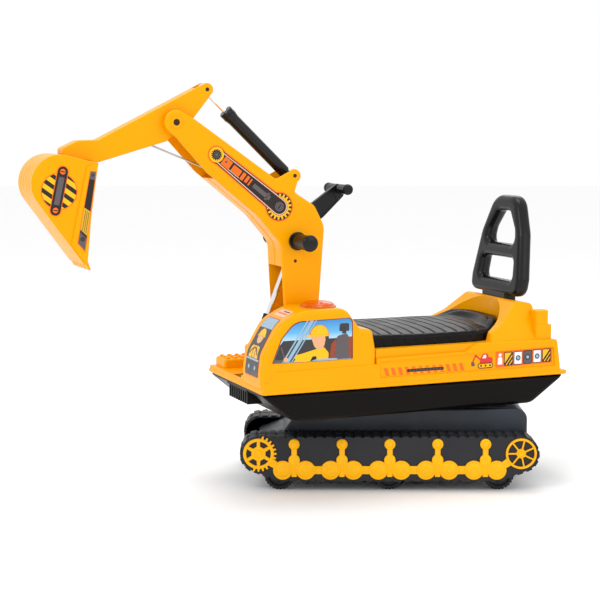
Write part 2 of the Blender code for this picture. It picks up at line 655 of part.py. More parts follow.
def bucket(curl, paint):
    scoop = prism("bucket", bucket_outline(), -BUCKET_HALF, BUCKET_HALF, paint["yellow"])
    # flared rims along the mouth, teeth on the lip
    rim = [(-0.5620, 0.4240), (-0.5375, 0.3905), (-0.5300, 0.4668), (-0.5177, 0.5485), (-0.5360, 0.5420)]
    rims = prisms("rims", [(rim, s * BUCKET_HALF - 0.003, s * BUCKET_HALF + 0.003) for s in (-1, 1)])
    tooth = [(-0.5430, 0.3960), (-0.5345, 0.3825), (-0.5315, 0.3840), (-0.5370, 0.3985)]
    teeth = prisms("teeth", [(tooth, y - 0.0065, y + 0.0065) for y in (-0.042, -0.021, 0, 0.021, 0.042)])
    fuse(scoop, curl.adopt(rims), curl.adopt(teeth))
    hollow = [(-0.5000, 0.5400), (-0.5200, 0.5440), (-0.5700, 0.5575), (-0.5960, 0.5540),
              (-0.6130, 0.5380), (-0.6190, 0.5130), (-0.6125, 0.4930), (-0.5410, 0.3965),
              (-0.5000, 0.4100)]
    room = prism("room", hollow, -BUCKET_HALF + 0.0028, BUCKET_HALF - 0.0028)
    keep = block("keep", (-0.5800, -0.0215, 0.5300), (-0.4900, 0.0215, 0.58))
    cut(room, curl.adopt(keep))
    cut(scoop, curl.adopt(room))
    slot = block("slot", (-0.5770, -0.0182, 0.5335), (-0.4900, 0.0182, 0.58))
    cut(scoop, curl.adopt(slot), curl.adopt(bore(BUCKET_PIN, 0.0038, -0.025, 0.025)))
    return curl.adopt(merge_flats(scoop))


def grip_bar(boom, paint):
    """Handlebar through the arm: ribbed grips with collars and rounded ends."""
    half = 0.0924
    side = [(0.0122, 0.0), (0.0122, BOOM_HALF + 0.001), (0.0150, BOOM_HALF + 0.001),
            (0.0150, BOOM_HALF + 0.004), (0.0122, BOOM_HALF + 0.005), (0.0117, half - 0.006),
            (0.0137, half - 0.005), (0.0137, half - 0.002), (0.0110, half), (0.0, half)]
    profile = [(r, -h) for r, h in reversed(side[1:])] + side[1:]
    return boom.adopt(aim(turned("grip_bar", profile, paint["black"], 16),
                          (GRIP[0], 0, GRIP[1]), (0, 1, 0)))


def lever(body, paint):
    """Cranked hand lever: a flat arm out of the arm's back, and a crank up to the steel rod."""
    hand, hinge, crank = Vector(LEVER_HAND), Vector(LEVER_PIN), Vector(LINK_REAR)
    way = (hand - hinge).normalized()
    up_way = Vector((-way.y, way.x))
    blade = [hinge + way * a + up_way * b for a, b in
             ((0.0, 0.0080), (-0.0060, 0.0), (0.0060, -0.0070), (0.0300, -0.0205), (0.0640, -0.0250),
              (0.1150, -0.0150), (0.1215, -0.0110), (0.1245, 0.0020), (0.1185, 0.0090), (0.1100, 0.0090),
              (0.0600, 0.0065))]
    arm = prism("lever_arm", blade, -0.0045, 0.0045, paint["black"])
    boss = prism("boss", circle(hinge, 0.0095, 20), -0.0045, 0.0045)
    up = prism("up", bar(hinge, crank, 0.0050), -0.0045, 0.0045)
    fuse(arm, body.adopt(boss), body.adopt(up))
    cut(arm, body.adopt(bore(hinge, 0.0034)), body.adopt(bore(hand, 0.0052)))
    body.adopt(arm)
    half = 0.0435
    side = [(0.0048, 0.0), (0.0048, 0.0052), (0.0075, 0.0052), (0.0078, half - 0.008),
            (0.0092, half - 0.007), (0.0092, half - 0.002), (0.0075, half), (0.0, half)]
    profile = [(r, -h) for r, h in reversed(side[1:])] + side[1:]
    handle = aim(turned("lever_grip", profile, paint["black"], 12), (hand.x, 0, hand.y), (0, 1, 0))
    return body.adopt(handle)


def along(start, end):
    line = Vector((end[0] - start[0], 0, end[1] - start[1]))
    return Vector((start[0], 0, start[1])), line.normalized(), line.length


def ram_barrel(name, body, start, end, length, radius, inner, collar, eye, mat, hole):
    """Cylinder with a collar at its mouth, an eye at its foot and a blind bore."""
    foot, way, _ = along(start, end)
    sides = [(0, 0.006), (radius, 0.006), (radius, length - collar[1]),
             (collar[0], length - collar[1] + 0.001), (collar[0], length - 0.001),
             (collar[0] - 0.001, length), (inner, length), (inner, 0.02), (0, 0.02)]
    tube = aim(turned(name, sides, mat, 16), foot, way)
    boss = prism("eye", circle(start, eye, 20), -0.0065, 0.0065)
    fuse(tube, body.adopt(boss))
    cut(tube, body.adopt(bore(start, hole)))
    return body.adopt(tube)


def ram_rod(name, body, start, end, first, radius, eye, hole, mat):
    """Bright rod out of a cylinder, with an open eye at its far end."""
    foot, way, length = along(start, end)
    rod = aim(turned(name, [(0, first), (radius, first), (radius, length - hole - 0.001),
                            (0, length - hole - 0.001)], mat, 20), foot, way)
    if eye:
        ring = prism("ring", circle(end, eye, 24), -0.0048, 0.0048)
        fuse(rod, body.adopt(ring))
        cut(rod, body.adopt(bore(end, hole, count=20)))
    return body.adopt(rod)


def arm(upper, paint):
    def at(spot):
        return (spot[0], 0.0, spot[1])

    boom = Body("boom", upper, at(BOOM_FOOT))
    dipper = Body("dipper", boom, at(DIPPER_PIN))
    curl = Body("bucket", dipper, at(BUCKET_PIN))
    hand = Body("lever", boom, at(LEVER_PIN))
    link = Body("link", dipper, at(LINK_FRONT))
    crowd = Body("dipper_ram", boom, at(EAR_PIN))
    lift = Body("boom_ram", upper, at(LIFT_LOW))
    for side in (-1, 1):
        boom_half(side, boom, paint)
        dipper_half(side, dipper, paint)
    upper.adopt(pin("boom_pin", BOOM_FOOT, 0.005, 0.0405, paint["steel"]))
    boom.adopt(pin("dipper_pin", DIPPER_PIN, 0.005, BOOM_HALF - 0.001, paint["black"]))
    boom.adopt(pin("ear_pin", EAR_PIN, 0.003, BOOM_HALF - 0.001, paint["black"]))
    boom.adopt(pin("boom_ram_pin", LIFT_TOP, 0.0025, BOOM_HALF - 0.001, paint["black"], 12))
    boom.adopt(pin("lever_pin", LEVER_PIN, 0.003, 0.0305, paint["steel"], 12))
    upper.adopt(pin("lift_foot_pin", LIFT_LOW, 0.0024, 0.0218, paint["steel"], 12))
    dipper.adopt(pin("tail_pin", TAIL_PIN, 0.003, DIPPER_HALF - 0.0005, paint["black"]))
    curl.adopt(pin("bucket_pin", BUCKET_PIN, 0.0035, 0.0235, paint["steel"]))
    bucket(curl, paint)
    grip_bar(boom, paint)
    lever(hand, paint)
    start, way, length = along(LINK_FRONT, LINK_REAR)
    rod = [(0, 0), (0.0016, 0), (0.0016, length - 0.0075), (0, length - 0.0075)]
    link.adopt(aim(turned("link_rod", rod, paint["steel"], 10), start, way))
    ram_barrel("dipper_ram_barrel", crowd, EAR_PIN, TAIL_PIN, 0.1515, 0.0100, 0.0052,
               (0.0116, 0.015), 0.0098, paint["black"], 0.0034)
    ram_rod("dipper_ram_rod", crowd, EAR_PIN, TAIL_PIN, 0.060, 0.0047, 0.0095, 0.0066, paint["chrome"])
    ram_barrel("boom_ram_barrel", lift, LIFT_LOW, LIFT_TOP, 0.1145, 0.0068, 0.0054,
               (0.0080, 0.012), 0.0066, paint["black"], 0.0028)
    ram_rod("boom_ram_rod", lift, LIFT_LOW, LIFT_TOP, 0.068, 0.0049, 0.0095, 0.0062, paint["chrome"])


def build():
    clear_scene()
    paint = {
        "yellow": material("body_yellow", YELLOW, 0.28),
        "trim": material("trim_yellow", TRIM_YELLOW, 0.25),
        "track": material("track_grey", TRACK_GREY, 0.45),
        "chassis": material("chassis_blue_grey", CHASSIS_BLUE, 0.4),
        "black": material("hull_black", BLACK, 0.4),
        "soft_black": material("seat_black", SOFT_BLACK, 0.38),
        "chrome": material("chrome", CHROME, 0.12, 1.0),
        "steel": material("steel", STEEL, 0.3, 1.0),
        "amber": material("amber_lens", AMBER, 0.15),
    }
    root = Body("machine", at=(0, 0, 0))
    undercarriage(root, paint)
    upper = Body("slew", root, turn=SLEW_REST)
    lower_hull(upper, paint)
    upper_body(upper, paint)
    seat(upper, paint)
    backrest(upper, paint)
    beacon(upper, paint)
    arm(upper, paint)
    root.empty.location = (FRAME_X, FRAME_Y, 0.0)


build()
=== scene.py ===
"""Looks of the ride-on digger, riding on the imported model.

The upper works are drawn in their own frame: x to the seat end, y to the machine's right, origin on
the ground under the slew axis. The undercarriage is drawn in the same way, without the slew.
Lengths are in metres.
"""
import json
import math

import bmesh
import bpy
from mathutils import Matrix, Vector


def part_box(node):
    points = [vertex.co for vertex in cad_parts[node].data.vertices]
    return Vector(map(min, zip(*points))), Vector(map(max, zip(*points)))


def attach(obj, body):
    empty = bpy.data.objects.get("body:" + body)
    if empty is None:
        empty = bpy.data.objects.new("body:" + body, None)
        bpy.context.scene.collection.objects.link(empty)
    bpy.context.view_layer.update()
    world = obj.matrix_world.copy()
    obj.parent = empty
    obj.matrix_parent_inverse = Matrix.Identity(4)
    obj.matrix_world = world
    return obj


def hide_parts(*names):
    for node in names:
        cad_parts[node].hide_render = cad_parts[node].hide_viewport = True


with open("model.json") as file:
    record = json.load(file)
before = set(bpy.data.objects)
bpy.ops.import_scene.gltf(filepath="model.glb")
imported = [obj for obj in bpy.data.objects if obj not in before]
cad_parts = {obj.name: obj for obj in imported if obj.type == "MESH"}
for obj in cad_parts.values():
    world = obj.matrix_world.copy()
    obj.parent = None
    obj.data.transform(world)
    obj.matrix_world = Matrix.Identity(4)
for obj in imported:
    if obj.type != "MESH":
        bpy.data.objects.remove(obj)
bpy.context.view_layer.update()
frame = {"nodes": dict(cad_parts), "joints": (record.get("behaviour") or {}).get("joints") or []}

# ---------------------------------------------------------------- places taken from the frame
JOINTS = {joint["name"]: joint for joint in frame["joints"]}
SLEW = Vector(JOINTS["slew"]["pos_m"])
ACROSS = Vector(JOINTS["boom_lift"]["axis"])
BASE = Matrix.Translation((SLEW.x, SLEW.y, 0.0))
UPPER = BASE @ Matrix.Rotation(math.atan2(-ACROSS.x, ACROSS.y), 4, "Z")


def pivot(name):
    """(x, z) of a joint in the upper works' frame."""
    spot = UPPER.inverted() @ Vector(JOINTS[name]["pos_m"])
    return Vector((spot.x, spot.z))


BOOM_FOOT = pivot("boom_lift")
DIPPER_PIN = pivot("dipper_swing")
BUCKET_PIN = pivot("bucket_curl")
EAR_PIN = pivot("dipper_ram_swing")
LIFT_LOW = pivot("boom_ram_swing")
LEVER_PIN = pivot("lever_swing")
TAIL_PIN = Vector((-0.3283, 0.6629))
LIFT_TOP = Vector((-0.183, 0.384))
GRIP = Vector((-0.180, 0.4167))
LEVER_HAND = Vector((-0.0918, 0.4999))
LINK_REAR = Vector((-0.2010, 0.4860))

# ---------------------------------------------------------------- driving dimensions
TRACK_OUT = 0.1197
TRACK_IN = 0.0627
TRACK_END = 0.2468
TRACK_TOP = 0.0913
TRACK_LOW = 0.019
LUG_PITCH = 0.0157
LUG_HIGH = 0.0021
SPROCKET_X = -0.2178
RIM_Z = 0.065
ROLLER_Z = 0.0372
POST_PITCH = 0.07935
WHEEL_R = 0.026
WHEEL_Y = 0.093
WHEEL_X = 0.183
CHASSIS_TOP = 0.129
HULL_LOW = 0.134
HULL_TOP = 0.181
HULL_HALF = 0.1315
DECK = 0.193
SHELF = 0.2435
BODY_HALF = 0.130
CAB_SIDE = 0.1285
CAB_IN = -0.038
ROOF = 0.3135
BOOM_HALF = 0.033
DIPPER_HALF = 0.017
BUCKET_HALF = 0.049
VINYL = 0.00012                        # thickness of one layer of a sticker
SADDLE_HALF = 0.1095
SADDLE_BEND = 0.10                     # x where the saddle's rear rounding starts
SADDLE_ROUND = 0.0985                  # how far that rounding reaches back
GROOVE_FIRST = -0.062
GROOVE_PITCH = 0.0205
REST_LEAN = math.radians(7.8)
SIDES = ((-1, "left"), (1, "right"))

# ---------------------------------------------------------------- materials
YELLOW = (0.94, 0.385, 0.0)
DEEP_YELLOW = (0.97, 0.47, 0.0)
ORANGE = (1.0, 0.155, 0.0)
GOLD = (0.72, 0.42, 0.02)
INK = (0.018, 0.012, 0.010)
SLATE = (0.115, 0.095, 0.100)
WHITE = (0.86, 0.86, 0.86)
SKY = (0.10, 0.42, 0.85)
RED = (0.75, 0.03, 0.02)
CLOUD_SCALE = 9.0                      # colour clouds per metre
GLOSS_SCALE = 35.0                     # patches of uneven gloss per metre


def add_node(tree, kind, **values):
    node = tree.nodes.new(kind)
    for key, value in values.items():
        node.inputs[key.replace("_", " ")].default_value = value
    return node


def noise(tree, scale, detail=3.0):
    """Noise over the object's own coordinates; scale counts features per metre."""
    coords = tree.nodes.new("ShaderNodeTexCoord")
    node = add_node(tree, "ShaderNodeTexNoise", Scale=scale, Detail=detail)
    tree.links.new(coords.outputs["Object"], node.inputs["Vector"])
    return node.outputs[0]


def ramp(tree, factor, *stops):
    """Colour ramp through (position, colour) stops."""
    node = tree.nodes.new("ShaderNodeValToRGB")
    while len(node.color_ramp.elements) < len(stops):
        node.color_ramp.elements.new(0.5)
    for element, (position, colour) in zip(node.color_ramp.elements, stops):
        element.position = position
        element.color = (*colour, 1.0)
    tree.links.new(factor, node.inputs[0])
    return node.outputs[0]


def shade(colour, factor):
    """The colour made lighter or darker."""
    return tuple(min(max(c * factor, 0.0), 1.0) for c in colour)


def spread(tree, factor, low, high):
    """Maps noise to a range of grey values."""
    node = add_node(tree, "ShaderNodeMapRange", From_Min=0.3, From_Max=0.7, To_Min=low, To_Max=high)
    tree.links.new(factor, node.inputs["Value"])
    return node.outputs[0]


def bump(tree, shader, height, distance):
    node = add_node(tree, "ShaderNodeBump", Strength=1.0, Distance=distance)
    tree.links.new(height, node.inputs["Height"])
    tree.links.new(node.outputs[0], shader.inputs["Normal"])


def surface(name, colour, roughness, grain=900.0, depth=0.00002, mottle=0.06, metallic=0.0, coat=0.0,
            specular=0.5, uneven=0.06):
    """A moulded or metal surface: cloudy colour, uneven gloss and a fine grain."""
    mat = bpy.data.materials.new(name)
    mat.use_nodes = True
    tree = mat.node_tree
    shader = tree.nodes["Principled BSDF"]
    shader.inputs["Metallic"].default_value = metallic
    shader.inputs["Coat Weight"].default_value = coat
    shader.inputs["Coat Roughness"].default_value = 0.1
    shader.inputs["Specular IOR Level"].default_value = specular
    tint = ramp(tree, noise(tree, CLOUD_SCALE), (0.32, shade(colour, 1.0 - mottle)),
                (0.68, shade(colour, 1.0 + mottle)))
    tree.links.new(tint, shader.inputs["Base Color"])
    gloss = spread(tree, noise(tree, GLOSS_SCALE, 4.0), roughness - uneven, roughness + uneven)
    tree.links.new(gloss, shader.inputs["Roughness"])
    bump(tree, shader, noise(tree, grain, 2.0), depth)
    return mat


def sky_vinyl():
    """Printed window: pale at the sill, blue towards the top."""
    mat = surface("print_sky", SKY, 0.2, mottle=0.03, coat=0.6)
    tree = mat.node_tree
    coords = tree.nodes.new("ShaderNodeTexCoord")
    split = tree.nodes.new("ShaderNodeSeparateXYZ")
    tree.links.new(coords.outputs["Object"], split.inputs[0])
    height = add_node(tree, "ShaderNodeMapRange", From_Min=0.262, From_Max=0.298)
    tree.links.new(split.outputs["Z"], height.inputs["Value"])
    tint = ramp(tree, height.outputs[0], (0.0, (0.60, 0.80, 0.90)), (0.45, (0.10, 0.45, 0.80)),
                (1.0, (0.02, 0.22, 0.60)))
    tree.links.new(tint, tree.nodes["Principled BSDF"].inputs["Base Color"])
    return mat


def lens():
    """Clear amber moulding of the beacon."""
    mat = surface("amber_lens", (0.95, 0.14, 0.0), 0.14, 400.0, 0.00001, specular=0.3, uneven=0.03)
    shader = mat.node_tree.nodes["Principled BSDF"]
    shader.inputs["Transmission Weight"].default_value = 0.25
    shader.inputs["Subsurface Weight"].default_value = 0.3
    return mat


def palette():
    """Every material by its short name: name, colour, roughness, grain, depth, mottle."""
    paint = {
        "yellow": surface("yellow_plastic", YELLOW, 0.25, 500.0, 0.000006, 0.02, specular=0.11,
                          uneven=0.04),
        "trim": surface("yellow_trim", DEEP_YELLOW, 0.25, 500.0, 0.000006, 0.03, specular=0.22,
                        uneven=0.04),
        "track": surface("track_plastic", (0.022, 0.0225, 0.026), 0.45, 900.0, 0.00002, 0.16,
                         specular=0.22),
        "chassis": surface("chassis_plastic", (0.022, 0.029, 0.040), 0.38, 700.0, 0.00002, 0.30,
                           specular=0.4),
        "hull": surface("hull_plastic", (0.0040, 0.0030, 0.0025), 0.33, 700.0, 0.00001, 0.2, specular=0.10),
        "seat": surface("seat_plastic", (0.005, 0.004, 0.004), 0.34, 1100.0, 0.00003, 0.2, specular=0.14),
        "rest": surface("rest_plastic", (0.006, 0.0052, 0.006), 0.26, 1000.0, 0.00002, 0.18, specular=0.28),
        "tyre": surface("wheel_plastic", (0.010, 0.010, 0.012), 0.5, 1000.0, 0.00003, 0.2, specular=0.3),
        "gloss": surface("gloss_black", (0.005, 0.004, 0.004), 0.20, 600.0, 0.00001, 0.2, specular=0.32),
        "chrome": surface("chrome_tube", (0.80, 0.81, 0.83), 0.13, 1500.0, 0.00001, 0.03, 1.0,
                          uneven=0.04),
        "steel": surface("zinc_steel", (0.52, 0.52, 0.50), 0.30, 2200.0, 0.00003, 0.08, 1.0),
        "pin": surface("pin_brown", (0.035, 0.012, 0.004), 0.35, 900.0, 0.00001, 0.15, specular=0.3),
        "lens": lens(),
        "sky": sky_vinyl(),
    }
    prints = {"print_yellow": (1.0, 0.52, 0.0), "print_orange": ORANGE, "print_black": INK,
              "print_grey": SLATE, "print_gold": GOLD, "print_white": WHITE, "print_red": RED,
              "print_skin": (0.80, 0.42, 0.22), "print_peach": (0.95, 0.55, 0.40),
              "print_mist": (0.30, 0.48, 0.62), "print_rust": (0.33, 0.055, 0.02),
              "print_iron": (0.045, 0.040, 0.042)}
    for name, colour in prints.items():
        paint[name] = surface(name, colour, 0.27, 1200.0, 0.000004, 0.03, specular=0.35)
    return paint


PAINT = palette()


# ---------------------------------------------------------------- outlines
def rounded(corners, steps=8):
    """Outline from (a, b) or (a, b, radius) corners, each radius worked in as an arc."""
    points = []
    for i, corner in enumerate(corners):
        here = Vector(corner[:2])
        if len(corner) == 2:
            points.append(here)
            continue
        before = (Vector(corners[i - 1][:2]) - here).normalized()
        after = (Vector(corners[(i + 1) % len(corners)][:2]) - here).normalized()
        half = before.angle(after) / 2
        reach = corner[2] / math.tan(half)
        centre = here + (before + after).normalized() * (corner[2] / math.sin(half))
        start = here + before * reach - centre
        sweep = start.angle_signed(here + after * reach - centre)
        for k in range(steps + 1):
            points.append(centre + Matrix.Rotation(-sweep * k / steps, 2) @ start)
    return points


def polar(centre, radius, degrees):
    """Spot at an angle from a centre, anticlockwise from the first axis."""
    angle = math.radians(degrees)
    return Vector(centre) + radius * Vector((math.cos(angle), math.sin(angle)))


def arc(centre, radius, first, last, steps=10):
    return [polar(centre, radius, first + (last - first) * k / steps) for k in range(steps + 1)]


def circle(centre, radius, count=40):
    return arc(centre, radius, 0, 360.0 * (count - 1) / count, count - 1)


def inset(outline, amount):
    """The outline with every point drawn amount towards the middle."""
    middle = sum(outline, Vector((0, 0))) / len(outline)
    return [p + (middle - p).normalized() * amount for p in outline]


def slanted(x, low, high, width, lean):
    """Upright bar whose top is moved along by lean."""
    return [Vector((x, low)), Vector((x + width, low)),
            Vector((x + width + lean, high)), Vector((x + lean, high))]


def plate(a0, b0, a1, b1, radius, steps=8):
    """Rectangle with rounded corners."""
    return rounded([(a0, b0, radius), (a1, b0, radius), (a1, b1, radius), (a0, b1, radius)], steps)


def rectangle(a0, b0, a1, b1):
    return [Vector((a0, b0)), Vector((a1, b0)), Vector((a1, b1)), Vector((a0, b1))]


def capsule(start, end, first, last=None, steps=14):
    """Outline round two circles, of radius first and last, and the straight belt between them."""
    start, end = Vector(start), Vector(end)
    last = first if last is None else last
    line = end - start
    heading = math.degrees(math.atan2(line.y, line.x))
    tilt = math.degrees(math.asin((first - last) / line.length))
    return (arc(start, first, heading + 90 - tilt, heading + 270 + tilt, steps)
            + arc(end, last, heading - 90 + tilt, heading + 90 - tilt, steps))


def gear(centre, radius, depth, teeth):
    """Toothed outline: each tooth rises, runs level and falls in fixed shares of its pitch."""
    foot = radius - depth
    points = []
    for k in range(teeth):
        for part, r in ((0.0, foot), (0.08, radius), (0.5, radius), (0.58, foot)):
            points.append(polar(centre, r, 360.0 * (k + part) / teeth))
    return points


def clipped(outline, point, normal):
    """The part of a convex outline on the side of a line that normal points to."""
    kept = []
    for i, here in enumerate(outline):
        there = outline[(i + 1) % len(outline)]
        a, b = (here - point).dot(normal), (there - point).dot(normal)
        if a >= 0:
            kept.append(here)
        if a * b < 0:
            kept.append(here.lerp(there, a / (a - b)))
    return kept


# ---------------------------------------------------------------- solids
def slab(bm, outline, low, high, axis="Y", material=0):
    """Straight prism of a closed outline. axis Y: outline in XZ. X: in YZ. Z: in XY."""
    order = {"X": (2, 0, 1), "Y": (0, 2, 1), "Z": (0, 1, 2)}[axis]

    def place(p, depth):
        values = (p[0], p[1], depth)
        return Vector(values[i] for i in order)

    near = [bm.verts.new(place(p, low)) for p in outline]
    far = [bm.verts.new(place(p, high)) for p in outline]
    faces = [bm.faces.new(near), bm.faces.new(list(reversed(far)))]
    for i in range(len(outline)):
        j = (i + 1) % len(outline)
        faces.append(bm.faces.new((near[j], near[i], far[i], far[j])))
    for face in faces:
        face.material_index = material


def span(side, near, far):
    """Extent across the machine, low end first, of near to far on one side."""
    return sorted((side * near, side * far))


def spun(bm, profile, start, way, count=36):
    """Solid of revolution of (radius, height) points about the line from start along way."""
    turn = Vector((0, 0, 1)).rotation_difference(Vector(way)).to_matrix().to_4x4()
    move = Matrix.Translation(Vector(start)) @ turn
    rings = []
    for radius, height in profile:
        spots = circle((0, 0), radius, count) if radius > 1e-7 else [Vector((0, 0))]
        rings.append([bm.verts.new(move @ Vector((p.x, p.y, height))) for p in spots])
    pairs = list(zip(rings, rings[1:]))
    if len(rings[0]) > 1:
        pairs.append((rings[-1], rings[0]))
    for lower, upper in pairs:
        for i in range(count):
            j = (i + 1) % count
            corners = [lower[i % len(lower)], lower[j % len(lower)],
                       upper[j % len(upper)], upper[i % len(upper)]]
            unique = list(dict.fromkeys(corners))
            if len(unique) > 2:
                bm.faces.new(unique)


def sided(bm, profile, at, side, base, count=36):
    """A domed disc on a face across the machine: (radius, height) from base, outward to side."""
    spun(bm, profile, (at[0], side * base, at[1]), (0, side, 0), count)


def shape(name, bm):
    bmesh.ops.remove_doubles(bm, verts=bm.verts, dist=1e-6)
    bmesh.ops.recalc_face_normals(bm, faces=bm.faces)
    mesh = bpy.data.meshes.new(name)
    bm.to_mesh(mesh)
    bm.free()
    obj = bpy.data.objects.new(name, mesh)
    bpy.context.collection.objects.link(obj)
    return obj


def prisms(name, parts, axis="Y"):
    """One object of several prisms, (outline, low, high) each."""
    bm = bmesh.new()
    for outline, low, high in parts:
        slab(bm, outline, low, high, axis)
    return shape(name, bm)


def prism(name, outline, low, high, axis="Y"):
    return prisms(name, [(outline, low, high)], axis)


def settle(obj):
    """Works the modifiers into the mesh."""
    graph = bpy.context.evaluated_depsgraph_get()
    mesh = bpy.data.meshes.new_from_object(obj.evaluated_get(graph))
    obj.modifiers.clear()
    obj.data = mesh
    return obj


def combine(obj, tools, operation):
    for tool in tools:
        mod = obj.modifiers.new("combine", "BOOLEAN")
        mod.operation = operation
        mod.solver = "EXACT"
        mod.object = tool
    settle(obj)
    for tool in tools:
        bpy.data.objects.remove(tool, do_unlink=True)
    return obj


def fuse(obj, *tools):
    return combine(obj, tools, "UNION")


def cut(obj, *tools):
    return combine(obj, tools, "DIFFERENCE")


def join(obj, *pieces):
    """Adds overlapping pieces to one object."""
    bm = bmesh.new()
    for piece in (obj, *pieces):
        bm.from_mesh(piece.data)
    bm.to_mesh(obj.data)
    bm.free()
    for piece in pieces:
        bpy.data.objects.remove(piece, do_unlink=True)
    return obj


def soften(obj, width, segments=4, angle=50, clamp=True):
    """Rounds the edges that are sharper than angle, in degrees."""
    flat = obj.modifiers.new("flat", "DECIMATE")
    flat.decimate_type = "DISSOLVE"
    flat.angle_limit = math.radians(0.4)
    mod = obj.modifiers.new("soften", "BEVEL")
    mod.width = width
    mod.segments = segments
    mod.limit_method = "ANGLE"
    mod.angle_limit = math.radians(angle)
    mod.use_clamp_overlap = clamp
    return settle(obj)


def dress(obj, body, paint, place=UPPER, sharp=32, stands_for=()):
    """Gives a drawn piece its material and shading, sets it in place and lets it ride."""
    obj.data.transform(place)
    if not isinstance(paint, list):
        obj.data.materials.clear()
        paint = [paint]
    for name in paint:
        obj.data.materials.append(PAINT[name])
    obj.data.shade_smooth()
    obj.data.set_sharp_from_angle(angle=math.radians(sharp))
    even = obj.modifiers.new("even_normals", "WEIGHTED_NORMAL")
    even.keep_sharp = True
    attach(obj, body)
    if stands_for:
        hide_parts(*stands_for)
    return obj


def bore(at, radius, low=-0.3, high=0.3):
    return prism("bore", circle(at, radius), low, high)


# ---------------------------------------------------------------- undercarriage
def belt_outline(grow=0.0):
    end = TRACK_END + grow
    top = TRACK_TOP + grow
    low = TRACK_LOW - grow
    return rounded([(end, top, 0.028 + grow), (-end, top, 0.028 + grow), (-end, 0.043, 0.028 + grow),
                    (-0.184, low, 0.02), (0.184, low, 0.02), (end, 0.043, 0.028 + grow)], 10)


def walk(outline, pitch):
    """Evenly spaced (spot, heading, outward) along a closed outline."""
    lengths = [(outline[(i + 1) % len(outline)] - p).length for i, p in enumerate(outline)]
    total = sum(lengths)
    count = round(total / pitch)
    middle = sum(outline, Vector((0, 0))) / len(outline)
    for k in range(count):
        distance = total * k / count
        for i, length in enumerate(lengths):
            if distance <= length:
                break
            distance -= length
        heading = (outline[(i + 1) % len(outline)] - outline[i]).normalized()
        outward = Vector((-heading.y, heading.x))
        spot = outline[i] + heading * distance
        if outward.dot(spot - middle) < 0:
            outward.negate()
        yield spot, heading, outward


def cleat(bm, spot, heading, outward, half, near, far, high, taper=0.0006):
    """Tread block whose top is smaller than its foot."""
    corners = []
    for lift, pull in ((-0.0006, 0.0), (high * 0.6, 0.0), (high, taper)):
        for along, y in ((-half + pull, near + pull), (half - pull, near + pull),
                         (half - pull, far - pull), (-half + pull, far - pull)):
            flat = spot + heading * along + outward * lift
            corners.append(bm.verts.new((flat.x, y, flat.y)))
    bm.faces.new(corners[0:4])
    bm.faces.new(corners[8:12])
    for level in (0, 4):
        for i in range(4):
            j = (i + 1) % 4
            bm.faces.new((corners[level + i], corners[level + j],
                          corners[level + 4 + j], corners[level + 4 + i]))


def track_belt(side, word):
    """Hollow track moulding with wheel doors below and two rows of cleats round it."""
    belt = prism("track_belt_" + word, belt_outline(), *span(side, TRACK_IN, TRACK_OUT))
    hollow = span(side, TRACK_IN - 0.01, TRACK_OUT - 0.003)
    room = prism("room", belt_outline(-0.003), *hollow)
    wells = span(side, TRACK_IN - 0.01, WHEEL_Y + 0.0145)
    doors = prisms("doors", [(rectangle(x - 0.0315, -0.01, x + 0.0315, 0.05), *wells)
                             for x in (-WHEEL_X, 0.0, WHEEL_X)])
    soften(cut(belt, room, doors), 0.0008, 2, 60)
    bm = bmesh.new()
    bm.from_mesh(belt.data)
    rows = ((TRACK_IN + 0.0004, 0.0885), (0.0925, TRACK_OUT - 0.0003))
    for spot, heading, outward in walk(belt_outline(), LUG_PITCH):
        if spot.y < 0.03 and abs(abs(spot.x) - WHEEL_X * round(abs(spot.x) / WHEEL_X)) < 0.033:
            rows_here = ((TRACK_OUT - 0.0105, TRACK_OUT - 0.0003),)
        else:
            rows_here = rows
        for near, far in rows_here:
            cleat(bm, spot, heading, outward, 0.0052, *span(side, near, far), LUG_HIGH)
            if far - near > 0.02:
                strip = span(side, near + 0.004, far - 0.004)
                cleat(bm, spot - heading * 0.0072, heading, outward, 0.0009, *strip, LUG_HIGH * 0.45,
                      0.0002)
    bm.to_mesh(belt.data)
    bm.free()
    dress(belt, "chassis", "track", BASE, stands_for=["track_shell_" + word])


def ring(bm, at, side, base, inner, outer, high):
    """Raised rim with rounded edges."""
    edge = min(high, outer - inner) * 0.3
    sided(bm, [(inner, 0.0), (inner, high - edge), (inner + edge, high), (outer - edge, high),
               (outer, high - edge), (outer, 0.0)], at, side, base, 56)


def rib(bm, start, end, half, side, base, high, end_half=None):
    """Straight bar with a chamfered top, lying on a face across the machine."""
    a, b = Vector(start), Vector(end)
    way = (b - a).normalized()
    across = Vector((-way.y, way.x))
    tail = half if end_half is None else end_half
    edge = min(high * 0.4, min(half, tail) * 0.5)
    loops = []
    for lift, pull in ((0.0, 0.0), (high - edge, 0.0), (high, edge)):
        flat = [a - across * (half - pull), b - across * (tail - pull),
                b + across * (tail - pull), a + across * (half - pull)]
        loops.append([bm.verts.new((p.x, side * (base + lift), p.y)) for p in flat])
    bm.faces.new(loops[0])
    bm.faces.new(loops[2])
    for lower, upper in zip(loops, loops[1:]):
        for i in range(4):
            j = (i + 1) % 4
            bm.faces.new((lower[i], lower[j], upper[j], upper[i]))


